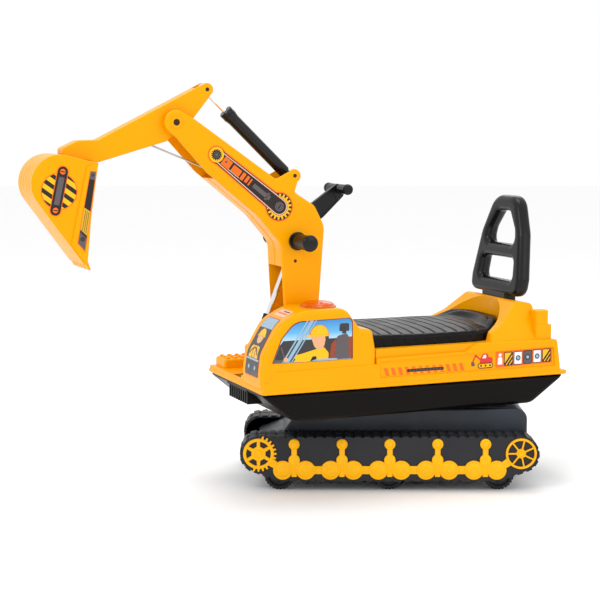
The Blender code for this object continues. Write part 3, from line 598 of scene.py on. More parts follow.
def track_wheels(side, word):
    """Yellow moulding on a track: sprocket, idler, five posts and their domed rollers."""
    base = TRACK_OUT + 0.0002
    bm = bmesh.new()
    roller = [(0, 0), (0.0160, 0), (0.0160, 0.0020), (0.0152, 0.0030), (0.0136, 0.0032), (0.0130, 0.0026),
              (0.0122, 0.0027), (0.0112, 0.0036), (0.0085, 0.0047), (0.0056, 0.0054), (0.0048, 0.0050),
              (0.0042, 0.0056), (0.0022, 0.0061), (0, 0.0062)]
    knob = [(0, 0), (0.0092, 0), (0.0092, 0.0018), (0.0083, 0.0031), (0.0064, 0.0039), (0.0058, 0.0033),
            (0.0050, 0.0034), (0.0042, 0.0043), (0.0022, 0.0048), (0, 0.0049)]
    shoulder = [(0, 0), (0.0094, 0), (0.0094, 0.0022), (0.0085, 0.0032), (0, 0.0035)]
    posts = [POST_PITCH * k for k in range(-2, 3)]
    rollers = [x + s * 0.019 for x in posts for s in (-1, 1)]
    for x in posts:
        rib(bm, (x, 0.0262), (x, 0.0790), 0.0046, side, base, 0.0030)
        rib(bm, (x, 0.0300), (x, 0.0470), 0.0022, side, base, 0.0040)
        rib(bm, (x - 0.019, ROLLER_Z), (x + 0.019, ROLLER_Z), 0.0050, side, base, 0.0022)
        sided(bm, knob, (x, 0.0807), side, base)
        sided(bm, shoulder, (x, 0.0545), side, base, 28)
        rib(bm, (x, 0.0400), (x, 0.0530), 0.0094, side, base, 0.0026, 0.0094)
    for x in rollers:
        sided(bm, roller, (x, ROLLER_Z), side, base)
    for left, right in zip(rollers[1::2], rollers[2::2]):
        centre = (left + right) / 2
        rib(bm, (left, ROLLER_Z), (right, ROLLER_Z), 0.0068, side, base, 0.0020)
        rib(bm, (centre - 0.0036, ROLLER_Z), (centre + 0.0036, ROLLER_Z), 0.0036, side, base, 0.0030)
    reach = -SPROCKET_X
    for s in (-1, 1):
        rib(bm, (s * (reach - 0.019), 0.0520), (s * rollers[-1], ROLLER_Z), 0.0070, side, base,
            0.0022, 0.0050)
    hub = (SPROCKET_X, RIM_Z)
    ring(bm, hub, side, base, 0.0204, 0.0256, 0.0034)
    for k in range(24):
        angle = 15.0 * k if k <= 12 else 15.0 * k - 360.0
        if -115 <= angle <= 80:
            rib(bm, polar(hub, 0.0245, angle), polar(hub, 0.0299, angle), 0.0021, side, base,
                0.0030, 0.0014)
    for k in range(6):
        angle = 90 + 60 * k
        rib(bm, polar(hub, 0.006, angle), polar(hub, 0.0215, angle), 0.0034, side, base, 0.0028, 0.0026)
    sided(bm, [(0, 0), (0.0118, 0), (0.0118, 0.0026), (0.0106, 0.0034), (0.0080, 0.0034), (0.0076, 0.0028),
               (0.0060, 0.0029), (0.0052, 0.0040), (0.0026, 0.0045), (0, 0.0046)], hub, side, base, 48)
    idler = (reach, RIM_Z)
    ring(bm, idler, side, base, 0.0219, 0.0256, 0.0036)
    for k in range(7):
        angle = 180 + 360.0 * k / 7
        rib(bm, polar(idler, 0.004, angle), polar(idler, 0.0225, angle), 0.0013, side, base, 0.0028)
    sided(bm, [(0, 0), (0.0082, 0), (0.0070, 0.0028), (0.0052, 0.0034), (0.0046, 0.0030), (0.0040, 0.0040),
               (0, 0.0044)], idler, side, base, 32)
    trim = shape("track_wheels_" + word, bm)
    dress(trim, "chassis", "trim", BASE, 38, ["track_trim_" + word])


def road_wheel(name):
    """Treaded wheel with a recessed hub, on its own body."""
    low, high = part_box(name)
    middle = (Vector(low) + Vector(high)) / 2
    bm = bmesh.new()
    face = [(0.0044, -0.0100), (0.0088, -0.0105), (0.0096, -0.0080), (0.0185, -0.0080), (0.0200, -0.0108),
            (0.0232, -0.0108), (0.0246, -0.0094)]
    profile = face + [(r, -h) for r, h in reversed(face)]
    spun(bm, profile, (middle.x, middle.y, middle.z), (0, 1, 0), 48)
    for k in range(26):
        for row in (-1, 1):
            angle = math.radians(360.0 * (k + 0.25 * row) / 26)
            outward = Vector((math.cos(angle), math.sin(angle)))
            heading = Vector((-outward.y, outward.x))
            spot = Vector((middle.x, middle.z)) + outward * 0.0245
            near, far = sorted((middle.y + row * 0.0008, middle.y + row * 0.0094))
            cleat(bm, spot, heading, outward, 0.0019, near, far, WHEEL_R - 0.0246, 0.0004)
    dress(shape(name + "_tread", bm), name, "tyre", Matrix.Identity(4), stands_for=[name])


def chassis_cover():
    """Box between the tracks, its rear top rounded and its front sloping down."""
    half = TRACK_IN - 0.0003
    outline = rounded([(-0.221, 0.045), (0.236, 0.045), (0.236, CHASSIS_TOP, 0.018), (-0.150, CHASSIS_TOP),
                       (-0.1775, 0.0905, 0.006), (-0.221, 0.074, 0.006)])
    cover = soften(prism("chassis_cover", outline, -half, half), 0.0035, 4, 50)
    inner = rounded([(-0.217, 0.03), (0.232, 0.03), (0.232, CHASSIS_TOP - 0.004, 0.015),
                     (-0.147, CHASSIS_TOP - 0.004), (-0.1745, 0.0865), (-0.217, 0.070)])
    cut(cover, prism("inner", inner, 0.004 - half, half - 0.004))
    panel = prism("panel", plate(-0.140, -0.050, 0.205, 0.050, 0.006), CHASSIS_TOP - 0.001,
                  CHASSIS_TOP + 0.0012, "Z")
    bearers = prisms("bearers", [(rectangle(x - 0.008, 0.0145, x + 0.008, top), 0.003 - half, half - 0.003)
                                 for x, top in ((-WHEEL_X, 0.085), (0.0, 0.110), (WHEEL_X, 0.1255))])
    braces = prisms("braces", [(rectangle(-0.209, y - 0.0015, -0.178, y + 0.0015), 0.05, 0.079)
                               for y in (-0.030, 0.0, 0.030)], "Z")
    fuse(cover, panel, bearers, braces)
    dress(cover, "chassis", "chassis", BASE, stands_for=["chassis_frame"])


def undercarriage():
    for side, word in SIDES:
        track_belt(side, word)
        track_wheels(side, word)
        for place in ("front", "middle", "rear"):
            road_wheel(f"wheel_{place}_{word}")
    chassis_cover()


# ---------------------------------------------------------------- lower hull
def boat(top_x, low_x0, low_x1, top_half, low_half, low, top):
    """Boat-shaped block: a rectangle below, joined to a longer rectangle above."""
    bm = bmesh.new()
    loops = []
    for x0, x1, half, z in ((low_x0, low_x1, low_half, low), (-top_x, top_x, top_half, top)):
        corners = rectangle(x0, -half, x1, half)
        loops.append([bm.verts.new((p.x, p.y, z)) for p in corners])
    bm.faces.new(loops[0])
    bm.faces.new(list(reversed(loops[1])))
    for i in range(4):
        j = (i + 1) % 4
        bm.faces.new((loops[0][i], loops[0][j], loops[1][j], loops[1][i]))
    return bm


def hull():
    """Black tub under the yellow body, with a ribbed grille at its front."""
    outside = boat(0.280, -0.224, 0.2147, HULL_HALF, 0.1295, HULL_LOW, HULL_TOP - 0.0003)
    tub = soften(shape("hull_tub", outside), 0.009, 6, 25)
    comb = []
    for k in range(9):
        y = -0.0450 + k * 0.0104
        comb += [(-0.2722, y), (-0.2728, y + 0.0016), (-0.2728, y + 0.0044), (-0.2722, y + 0.0060),
                 (-0.2680, y + 0.0066), (-0.2680, y + 0.0098)]
    comb = [(-0.235, -0.0462), *comb[:-1], (-0.235, 0.0466)]
    sill = rectangle(-0.2745, 0.1735, -0.24, HULL_TOP - 0.0006)
    fuse(tub, prism("grille", comb, 0.1525, 0.1745, "Z"), prism("sill", sill, -0.0475, 0.0480))
    cut(tub, shape("inside", boat(0.2765, -0.2195, 0.2102, HULL_HALF - 0.0035, 0.1265, HULL_LOW + 0.0035,
                                  HULL_TOP + 0.004)))
    dress(tub, "upper", "hull", stands_for=["lower_hull"])


# ---------------------------------------------------------------- yellow body
def main_outline():
    low = HULL_TOP + 0.0003
    return rounded([(-0.2805, low), (0.2700, low), (0.2680, 0.2025), (0.2620, 0.2425, 0.006),
                    (0.2, SHELF), (-0.079, SHELF), (-0.079, DECK), (-0.2765, DECK, 0.003)])


def cab_outline():
    low = DECK - 0.006
    return rounded([(-0.2795, low), (-0.2800, 0.214, 0.01), (-0.2760, 0.2450, 0.04), (-0.2480, 0.2935, 0.05),
                    (-0.2080, ROOF, 0.04), (-0.1330, ROOF, 0.022), (-0.1080, 0.2800, 0.008),
                    (-0.0855, 0.2765, 0.0100), (-0.0795, 0.2430), (-0.0795, low)], 12)


def lip():
    """Flange round the foot of the body, deeper at the rear."""
    low = HULL_TOP + 0.0003
    outline = plate(-0.2790, -BODY_HALF - 0.0012, 0.2822, BODY_HALF + 0.0012, 0.006)
    return soften(prism("lip", outline, low, low + 0.0068, "Z"), 0.0018, 3, 50)


def surround():
    """Wing-shaped rest behind the seat: its sides lean in to the top."""
    outline = rounded([(0.130, 0.238), (0.1345, 0.2425), (0.1400, 0.2580, 0.008), (0.1680, 0.2730, 0.03),
                       (0.2030, 0.3060, 0.012), (0.2340, 0.3010, 0.006), (0.2370, 0.238)])
    bm = bmesh.new()
    slab(bm, outline, -1.0, 1.0)
    for vert in bm.verts:
        lean = min(max((vert.co.z - 0.2425) / 0.065, 0.0), 1.0)
        vert.co.y *= 0.1255 - 0.040 * lean
    return soften(shape("surround", bm), 0.006, 4, 40)


def seat_well():
    curve = [Vector((0.100 + 0.1035 * math.cos(a), 0.1135 * math.sin(a)))
             for a in (math.pi * k / 48 - math.pi / 2 for k in range(49))]
    corners = [Vector((0.04, 0.1135)), Vector((0.04, -0.1135))]
    return prism("well", curve + corners, SHELF + 0.0002, 0.35, "Z")


def arm_slots():
    """Openings of the deck for the boom and for its ram."""
    return [prism("slot", rectangle(-0.215, -0.0355, -0.115, 0.0355), 0.17, 0.3, "Z"),
            prism("ram_slot", rectangle(-0.274, -0.0200, -0.21, 0.0200), 0.17, 0.3, "Z")]


def side_relief(side):
    """Panels let into a flank: the sticker band, and the ledge that runs up under the seat."""
    out, skin = 0.14, BODY_HALF - 0.0022
    band = rounded([(-0.0745, 0.1968, 0.002), (0.2575, 0.1968, 0.002), (0.2545, 0.2300, 0.004),
                    (0.0860, 0.2268, 0.004), (-0.0745, 0.2235, 0.002)])
    ledge = rounded([(-0.0900, 0.2285), (0.0855, 0.2310, 0.004), (0.1060, 0.2430), (0.1060, 0.26),
                     (-0.0900, 0.26)])
    return [prism("band", band, *span(side, skin, out)),
            prism("ledge", ledge, *span(side, BODY_HALF - 0.0055, out))]


def plinth():
    """Thicker foot of the cab, which steps down under the windscreen."""
    outline = rounded([(-0.2768, 0.183), (-0.2768, 0.2005, 0.003), (-0.2690, 0.2010, 0.003),
                       (-0.2540, 0.2178, 0.004), (-0.0800, 0.2200, 0.003), (-0.0725, 0.2150, 0.002),
                       (-0.0725, 0.183)])
    base = soften(prism("base", outline, -BODY_HALF - 0.0002, -0.0375), 0.0022, 3, 40)
    outline = rounded([(-0.2766, 0.186), (-0.2766, 0.1985, 0.003), (-0.1, 0.1985), (-0.1, 0.186)])
    pad = soften(prism("pad", outline, -0.129, -0.0225), 0.0022, 3, 50)
    return [base, cut(pad, *arm_slots())]


def engine_cover():
    """Low house on the machine's right, with louvres and a grid of small blocks."""
    house = rounded([(-0.215, 0.185), (-0.215, 0.227, 0.006), (-0.0785, 0.227), (-0.0785, 0.185)])
    cover = rounded([(-0.268, 0.186), (-0.268, 0.2085, 0.005), (-0.200, 0.2085), (-0.200, 0.186)])
    pieces = [soften(prism("house", house, 0.041, 0.127), 0.005, 4, 50),
              soften(prism("cover", cover, 0.079, 0.1255), 0.004, 4, 50)]
    for k in range(4):
        x = -0.2625 + k * 0.0135
        for y in (0.0840, 0.0985, 0.1130):
            knob = prism("knob", rectangle(x, y, x + 0.0075, y + 0.0085), 0.205, 0.2116, "Z")
            pieces.append(soften(knob, 0.002, 2, 50))
    for x in (-0.196, -0.180, -0.164, -0.148, -0.132):
        louvre = prism("louvre", rectangle(x, 0.052, x + 0.006, 0.116), 0.222, 0.2295, "Z")
        pieces.append(soften(louvre, 0.0018, 2, 50))
    return pieces


def stacks():
    """Two-stage exhausts at the rear corners."""
    pieces = []
    for y in (-0.1105, 0.1105):
        foot = plate(0.222, y - 0.014, 0.254, y + 0.014, 0.004, 4)
        pipe = plate(0.2240, y - 0.0125, 0.2490, y + 0.0125, 0.006, 5)
        pieces.append(soften(prism("foot", foot, 0.240, 0.2680, "Z"), 0.0018, 3, 50))
        pieces.append(soften(prism("pipe", pipe, 0.240, 0.2925, "Z"), 0.0030, 4, 50))
    return pieces


def body_shell():
    """The yellow moulding: deck, cab, engine house, flanks, seat surround and exhausts."""
    shell = soften(prism("body_shell", main_outline(), -BODY_HALF, BODY_HALF), 0.0045, 4, 50)
    cut(shell, *side_relief(-1), *side_relief(1), *arm_slots())
    cab = soften(prism("cab", cab_outline(), -CAB_SIDE, CAB_IN), 0.0080, 6, 40, False)
    wings = surround()
    cut(wings, seat_well(), prism("stem", rectangle(-0.0423, 0.2760, 0.0423, 0.33), 0.2085, 0.2335, "X"))
    join(shell, cab, *plinth(), *engine_cover(), cut(lip(), *arm_slots()), wings, *stacks())
    dress(shell, "upper", "yellow", sharp=28, stands_for=["upper_body"])


def smooth_step(value, low, high):
    share = min(max((value - low) / (high - low), 0.0), 1.0)
    return share * share * (3 - 2 * share)


def saddle_height(x, edge):
    """Top of the saddle. edge runs from 0 on the centre line to 1 at the rim."""
    crown = 0.2680 + 0.0022 * smooth_step(-x, -0.02, 0.08)
    rear = smooth_step(x, 0.140, 0.172)
    fall = 0.0070 * edge ** 3 * (1 - rear)
    roll = 0.0085 * rear * smooth_step(edge, 0.62, 0.80)
    crease = 0.0022 * rear * math.exp(-((edge - 0.60) / 0.035) ** 2)
    crease += 0.0014 * rear * math.exp(-((edge - 0.86) / 0.03) ** 2)
    height = crown - fall + roll - crease
    for k in range(11):
        centre = GROOVE_FIRST + GROOVE_PITCH * k
        depth = 0.0020 * math.exp(-((x - centre) / 0.0013) ** 2)
        height -= depth * (1 - rear) * smooth_step(-edge, -0.99, -0.90)
    return height


def scallop(x, drop):
    """How far the skirt is drawn in under the ends of the grooves, near its top edge."""
    if not -0.07 < x < 0.150:
        return 0.0
    share = ((x - GROOVE_FIRST) / GROOVE_PITCH) % 1.0
    notch = math.exp(-(min(share, 1.0 - share) / 0.16) ** 2)
    return 0.0022 * notch * math.exp(-(drop / 0.0085) ** 2)


def saddle():
    """Rigid moulded saddle with cross grooves, a rolled rear rim and an upright skirt."""
    front, rear, count_x, count_y = -0.0775, 0.1955, 220, 56
    bm = bmesh.new()
    rows = []
    for i in range(count_x + 1):
        x = front + (rear - front) * i / count_x
        back = min(max(x - SADDLE_BEND, 0.0) / SADDLE_ROUND, 0.965)
        half = SADDLE_HALF * math.sqrt(1 - back * back)
        end = min(x - front, rear - x)
        row = []
        for j in range(-count_y, count_y + 1):
            share = math.sin(math.pi / 2 * j / count_y)
            edge = math.hypot(max(x - SADDLE_BEND, 0.0) / SADDLE_ROUND, share * half / SADDLE_HALF)
            gap = min((1 - abs(share)) * half, end)
            turn = 0.006
            drop = turn - math.sqrt(max(turn * turn - (turn - min(gap, turn)) ** 2, 0.0))
            row.append(bm.verts.new((x, share * half, saddle_height(x, min(edge, 1.0)) - drop)))
        rows.append(row)
    for lower, upper in zip(rows, rows[1:]):
        for j in range(2 * count_y):
            bm.faces.new((lower[j], upper[j], upper[j + 1], lower[j + 1]))
    rim = rows[0] + [row[-1] for row in rows[1:-1]] + rows[-1][::-1] + [row[0] for row in rows[-2:0:-1]]
    loops = [rim]
    for level in (0.0, 0.002, 0.004, 0.006, 0.009, 0.012):
        loop = []
        for vert in rim:
            inward = scallop(vert.co.x, level) * (-1 if vert.co.y > 0 else 1)
            loop.append(bm.verts.new((vert.co.x, vert.co.y + inward, vert.co.z - 0.0004 - level)))
        loops.append(loop)
    loops.append([bm.verts.new((v.co.x, v.co.y, SHELF + 0.0003)) for v in rim])
    for upper, lower in zip(loops, loops[1:]):
        for i in range(len(rim)):
            j = (i + 1) % len(rim)
            bm.faces.new((upper[i], upper[j], lower[j], lower[i]))
    bm.faces.new(loops[-1])
    dress(shape("saddle", bm), "upper", "seat", sharp=55, stands_for=["seat"])


def rest_frame():
    """Ladder-shaped backrest of round tube section, leaning back, on a flat stem."""
    def arch(points):
        return rounded(points + [(-y, z, r) for y, z, r in reversed(points)], 10)

    outer = arch([(0.0830, 0.3105, 0.017), (0.0850, 0.3400, 0.03), (0.0690, 0.4200, 0.05),
                  (0.0380, 0.4830, 0.034)])
    frame_piece = prism("rest_frame", outer, 0.0, 0.026, "X")
    windows = [arch([(0.0560, 0.3365, 0.010), (0.0520, 0.3750, 0.010)]),
               arch([(0.0490, 0.3990, 0.012), (0.0430, 0.4240, 0.020), (0.0190, 0.4560, 0.014)])]
    cut(frame_piece, prisms("windows", [(o, -0.01, 0.04) for o in windows], "X"))
    soften(frame_piece, 0.0105, 6, 50, False)
    stem = soften(prism("stem", rectangle(-0.042, 0.2763, 0.042, 0.3300), 0.002, 0.0245, "X"), 0.004, 3, 50)
    fuse(frame_piece, stem)
    for vert in frame_piece.data.vertices:
        vert.co.x += 0.2068 + max(vert.co.z - 0.318, 0.0) * math.tan(REST_LEAN)
    dress(frame_piece, "upper", "rest", sharp=40, stands_for=["backrest"])


def beacon():
    """Low amber dome with a collar and moulded flutes."""
    bm = bmesh.new()
    centre = (-0.1645, -0.084, ROOF - 0.0008)
    spun(bm, [(0, 0), (0.0300, 0), (0.0300, 0.0020), (0.0290, 0.0030), (0.0272, 0.0032), (0.0262, 0.0052),
              (0.0235, 0.0074), (0.0190, 0.0089), (0.0130, 0.0097), (0.0060, 0.0100), (0, 0.0101)], centre,
         (0, 0, 1), 64)
    dome_piece = shape("beacon_dome", bm)
    for vert in dome_piece.data.vertices:
        reach = math.hypot(vert.co.x - centre[0], vert.co.y - centre[1])
        if 0.012 < reach < 0.0265:
            angle = math.atan2(vert.co.y - centre[1], vert.co.x - centre[0])
            vert.co.z += 0.0003 * math.cos(16 * angle)
    dress(dome_piece, "upper", "lens", sharp=60, stands_for=["beacon"])


# ---------------------------------------------------------------- arm
def boom_outline():
    front = rounded([(-0.3870, 0.5880), (-0.3355, 0.5310, 0.02), (-0.2480, 0.4590, 0.03),
                     (-0.2080, 0.4120, 0.03), (-0.2065, 0.3780, 0.03), (-0.2020, 0.3000, 0.05),
                     (-0.1960, 0.240)])
    back = rounded([(-0.1410, 0.260), (-0.1400, 0.3120), (-0.1305, 0.4400, 0.035),
                    (-0.1480, 0.4745, 0.02), (-0.1835, 0.4970)])
    # round the outline: foot, back, ear, upper edge, head, front edge
    return (arc(BOOM_FOOT, 0.022, -160, -20, 14) + back + arc(EAR_PIN, 0.0112, -60, 140, 16)
            + [Vector((-0.2161, 0.5188)), Vector((-0.3540, 0.6155))] + arc(DIPPER_PIN, 0.0195, 60, 240, 18)
            + front)


BOOM_CHANNEL = [(-0.1995, 0.180), (-0.1460, 0.180), (-0.1440, 0.3120), (-0.1362, 0.418), (-0.1200, 0.4250),
                (-0.1200, 0.4640), (-0.1500, 0.4900), (-0.1690, 0.5000), (-0.1650, 0.5450),
                (-0.2300, 0.5700), (-0.2200, 0.5165), (-0.3300, 0.5940), (-0.3600, 0.6600),
                (-0.4300, 0.6600), (-0.4300, 0.5600), (-0.3700, 0.5350), (-0.3420, 0.5150),
                (-0.3180, 0.5225), (-0.2500, 0.4660), (-0.2065, 0.4250), (-0.2035, 0.4000),
                (-0.2030, 0.3760), (-0.2260, 0.3700), (-0.2250, 0.180)]


def washer(bm, at, side, face, inner, outer, high):
    """Raised ring moulded round a pivot."""
    sided(bm, [(inner, 0), (outer, 0), (outer, high * 0.65), (outer - high * 0.6, high),
               (inner + high * 0.6, high), (inner, high * 0.6)], at, side, face)


def boom_cheek(side, word):
    low, high = sorted((side * 0.00015, side * BOOM_HALF))
    cheek = soften(prism("boom_cheek_" + word, boom_outline(), low, high), 0.0036, 4, 60)
    channel = prism("channel", BOOM_CHANNEL, *sorted((-side * 0.01, side * (BOOM_HALF - 0.004))))
    pivots = ((DIPPER_PIN, 0.0053), (EAR_PIN, 0.0034), (LIFT_TOP, 0.0029), (BOOM_FOOT, 0.0053),
              (GRIP, 0.0126))
    holes = [bore(at, radius) for at, radius in pivots]
    cut(cheek, channel, *holes, bore(LEVER_PIN, 0.0033, -0.0308, 0.0308))
    bm = bmesh.new()
    bm.from_mesh(cheek.data)
    washer(bm, DIPPER_PIN, side, BOOM_HALF - 0.0003, 0.0055, 0.0095, 0.0016)
    washer(bm, EAR_PIN, side, BOOM_HALF - 0.0003, 0.0036, 0.0056, 0.0008)
    bm.to_mesh(cheek.data)
    bm.free()
    dress(cheek, "boom", "yellow", stands_for=["boom_" + word])


def dipper_outline():
    return rounded([(-0.3960, 0.5810, 0.006), (-0.3520, 0.6165, 0.003), (-0.3275, 0.6470),
                    *arc(TAIL_PIN, 0.0104, -40, 120, 12), (-0.5080, 0.5835, 0.01), (-0.5400, 0.5828, 0.006),
                    (-0.5660, 0.5705, 0.006), (-0.5660, 0.5600), *arc(BUCKET_PIN, 0.0125, 180, 360, 14),
                    (-0.5100, 0.5480)])


DIPPER_CHANNEL = [(-0.5540, 0.5300), (-0.5200, 0.5300), (-0.5080, 0.5515), (-0.4450, 0.5650),
                  (-0.4400, 0.5400), (-0.3950, 0.5700), (-0.3995, 0.5850), (-0.3600, 0.6160),
                  (-0.3400, 0.6000), (-0.3000, 0.6450), (-0.3050, 0.6850), (-0.3430, 0.6850),
                  (-0.3480, 0.6610), (-0.4580, 0.6080), (-0.5080, 0.5790), (-0.5380, 0.5780),
                  (-0.5580, 0.5680)]


def dipper_cheek(side, word):
    low, high = sorted((side * 0.00015, side * DIPPER_HALF))
    cheek = soften(prism("dipper_cheek_" + word, dipper_outline(), low, high), 0.0030, 4, 60)
    channel = prism("channel", DIPPER_CHANNEL, *sorted((-side * 0.01, side * (DIPPER_HALF - 0.0045))))
    pivots = ((DIPPER_PIN, 0.0053), (TAIL_PIN, 0.0033), (BUCKET_PIN, 0.0038))
    holes = [bore(at, radius) for at, radius in pivots]
    cut(cheek, channel, *holes)
    dress(cheek, "dipper", "yellow", stands_for=["dipper_" + word])


def bucket_outline(grow=0.0):
    centre = Vector((-0.5765, 0.5165))
    return [Vector((-0.5300 - grow, 0.4668)), Vector((-0.5177 - grow, 0.5485 + grow * 0.3)),
            *arc(centre, 0.0455 + grow, 84, 216, 26), Vector((-0.5420 - grow, 0.3915 - grow * 0.5)),
            Vector((-0.5375 - grow, 0.3905))]


def bucket_scoop():
    """Bucket: banded back, flat sides with a flared rim, teeth on the lip."""
    scoop = prism("bucket_scoop", bucket_outline(-0.0014), -BUCKET_HALF + 0.003, BUCKET_HALF - 0.003)
    bands = []
    edges = [-0.0490, -0.0300, -0.0105, 0.0090, 0.0285, 0.0490]
    for near, far in zip(edges, edges[1:]):
        bands.append(soften(prism("band", bucket_outline(), near + 0.0001, far - 0.0001), 0.0022, 3, 60))
    rim = rounded([(-0.5620, 0.4240), (-0.5375, 0.3905), (-0.5300, 0.4668), (-0.5177, 0.5485, 0.003),
                   (-0.5360, 0.5420, 0.003)])
    rims = [soften(prism("rim", rim, s * (BUCKET_HALF - 0.001) - 0.004, s * (BUCKET_HALF - 0.001) + 0.004),
                   0.0018, 3, 50) for s in (-1, 1)]
    tooth = [(-0.5430, 0.3960), (-0.5345, 0.3825), (-0.5315, 0.3840), (-0.5370, 0.3985)]
    teeth = [soften(prism("tooth", tooth, y - 0.0065, y + 0.0065), 0.0006, 2, 50)
             for y in (-0.042, -0.021, 0, 0.021, 0.042)]
    fuse(scoop, *bands)
    fuse(scoop, *rims, *teeth)
    hollow = rounded([(-0.5000, 0.5400), (-0.5200, 0.5440), (-0.5700, 0.5575, 0.01), (-0.5960, 0.5540, 0.01),
                      (-0.6130, 0.5380, 0.01), (-0.6190, 0.5130, 0.02), (-0.6125, 0.4930, 0.01),
                      (-0.5410, 0.3965), (-0.5000, 0.4100)])
    room = prism("room", hollow, -BUCKET_HALF + 0.0028, BUCKET_HALF - 0.0028)
    cut(room, prism("keep", rectangle(-0.5800, 0.5300, -0.4900, 0.58), -0.0215, 0.0215))
    slot = prism("slot", rectangle(-0.5770, 0.5335, -0.4900, 0.58), -0.0182, 0.0182)
    cut(scoop, room, slot, bore(BUCKET_PIN, 0.0038, -0.025, 0.025))
    dress(scoop, "bucket", "yellow", stands_for=["bucket"])


def mirrored(side):
    """Profile about the middle of a bar, from (radius, height) points of its one half."""
    return [(r, -h) for r, h in reversed(side[1:])] + side[1:]


def grip_rings(first, count, low, high, width):
    """Half profile of the rings moulded round a grip."""
    side = []
    for k in range(count):
        start = first + 0.0045 * k
        side += [(low, start), (high, start + 0.0006), (high, start + width - 0.0006), (low, start + width)]
    return side


def grips():
    """Handlebar through the arm and the cross handle on the lever."""
    half = 0.0924
    side = [(0.0122, 0.0), (0.0122, BOOM_HALF + 0.0006), (0.0150, BOOM_HALF + 0.0006),
            (0.0152, BOOM_HALF + 0.0035), (0.0146, BOOM_HALF + 0.0043), (0.0120, BOOM_HALF + 0.0046)]
    side += grip_rings(BOOM_HALF + 0.0095, 9, 0.0119, 0.0123, 0.0032)
    side += [(0.0118, half - 0.0095), (0.0130, half - 0.0085), (0.0136, half - 0.0065),
             (0.0137, half - 0.0040), (0.0130, half - 0.0018), (0.0108, half - 0.0004), (0.0, half)]
    bm = bmesh.new()
    spun(bm, mirrored(side), (GRIP.x, 0, GRIP.y), (0, 1, 0), 44)
    dress(shape("grip_handlebar", bm), "boom", "gloss", sharp=40, stands_for=["grip_bar"])
    half = 0.0435
    side = [(0.0048, 0.0), (0.0048, 0.0052), (0.0074, 0.0053), (0.0078, 0.0070)]
    side += grip_rings(0.0110, 5, 0.0078, 0.0081, 0.0030)
    side += [(0.0078, half - 0.0095), (0.0088, half - 0.0080), (0.0092, half - 0.0055),
             (0.0090, half - 0.0028), (0.0078, half - 0.0008), (0.0, half)]
    bm = bmesh.new()
    spun(bm, mirrored(side), (LEVER_HAND.x, 0, LEVER_HAND.y), (0, 1, 0), 36)
    dress(shape("lever_handle", bm), "lever", "gloss", sharp=40, stands_for=["lever_grip"])


def lever_blade():
    """Flat crank: a wide arm with a sunk web up to the handle, and a short arm to the rod."""
    way = (LEVER_HAND - LEVER_PIN).normalized()
    up = Vector((-way.y, way.x))

    def along(corners):
        return [(*(LEVER_PIN + way * a + up * b), *more) for a, b, *more in corners]

    outline = rounded(along([(0.0, 0.0080, 0.004), (-0.0060, 0.0, 0.004), (0.0060, -0.0070),
                             (0.0300, -0.0205, 0.02), (0.0640, -0.0250, 0.03), (0.1150, -0.0150, 0.004),
                             (0.1215, -0.0110, 0.004), (0.1245, 0.0020, 0.006), (0.1185, 0.0090, 0.004),
                             (0.1100, 0.0090, 0.03), (0.0600, 0.0065)]))
    blade = soften(prism("lever_blade", outline, -0.0045, 0.0045), 0.0012, 3, 50)
    boss = soften(prism("boss", circle(LEVER_PIN, 0.0095), -0.0045, 0.0045), 0.0010, 3, 50)
    crank = prism("crank", capsule(LEVER_PIN, LINK_REAR, 0.0090, 0.0050), -0.0045, 0.0045)
    soften(crank, 0.0010, 3, 50)
    web = rounded(along([(0.0350, -0.0185, 0.003), (0.0640, -0.0215, 0.02), (0.1020, -0.0145, 0.003),
                         (0.1040, 0.0050, 0.003), (0.0600, 0.0032, 0.02), (0.0350, 0.0010, 0.003)]))
    webs = [prism("web", web, *sorted((s * 0.0034, s * 0.01))) for s in (-1, 1)]
    cut(blade, *webs, bore(LEVER_PIN, 0.0034), bore(LEVER_HAND, 0.0052))
    join(blade, cut(boss, bore(LEVER_PIN, 0.0034)), cut(crank, bore(LEVER_PIN, 0.0034)))
    dress(blade, "lever", "gloss", stands_for=["lever_arm"])


def ram(name, foot, head, length, radius, inner, collar, hole, barrel):
    """Black cylinder with an eye at its foot and a stepped collar at its mouth."""
    line = head - foot
    start = Vector((foot.x, 0, foot.y))
    way = Vector((line.x, 0, line.y)).normalized()
    bm = bmesh.new()
    width, deep = collar
    spun(bm, [(0, 0.006), (radius * 0.8, 0.006), (radius, 0.009), (radius, length - deep - 0.004),
              (radius * 1.06, length - deep - 0.0035), (radius * 1.06, length - deep),
              (width - 0.0005, length - deep + 0.0006), (width, length - deep + 0.0014),
              (width, length - deep * 0.55), (width - 0.0006, length - deep * 0.52),
              (width - 0.0006, length - deep * 0.44), (width, length - deep * 0.41),
              (width, length - 0.0014), (width - 0.0012, length), (inner, length), (inner, 0.02),
              (0, 0.02)], start, way, 44)
    tube = shape(name, bm)
    eye = soften(prism("eye", circle(foot, hole * 2.4, 36), -0.0065, 0.0065), 0.0012, 2, 50)
    cut(fuse(tube, eye), bore(foot, hole))
    dress(tube, barrel, "gloss", sharp=40, stands_for=[barrel])


def arm():
    for side, word in SIDES:
        boom_cheek(side, word)
        dipper_cheek(side, word)
    bucket_scoop()
    grips()
    lever_blade()
    ram("dipper_ram_tube", EAR_PIN, TAIL_PIN, 0.1515, 0.0100, 0.0052, (0.0116, 0.015), 0.0034,
        "dipper_ram_barrel")
    ram("boom_ram_tube", LIFT_LOW, LIFT_TOP, 0.1145, 0.0068, 0.0054, (0.0080, 0.012), 0.0028,
        "boom_ram_barrel")


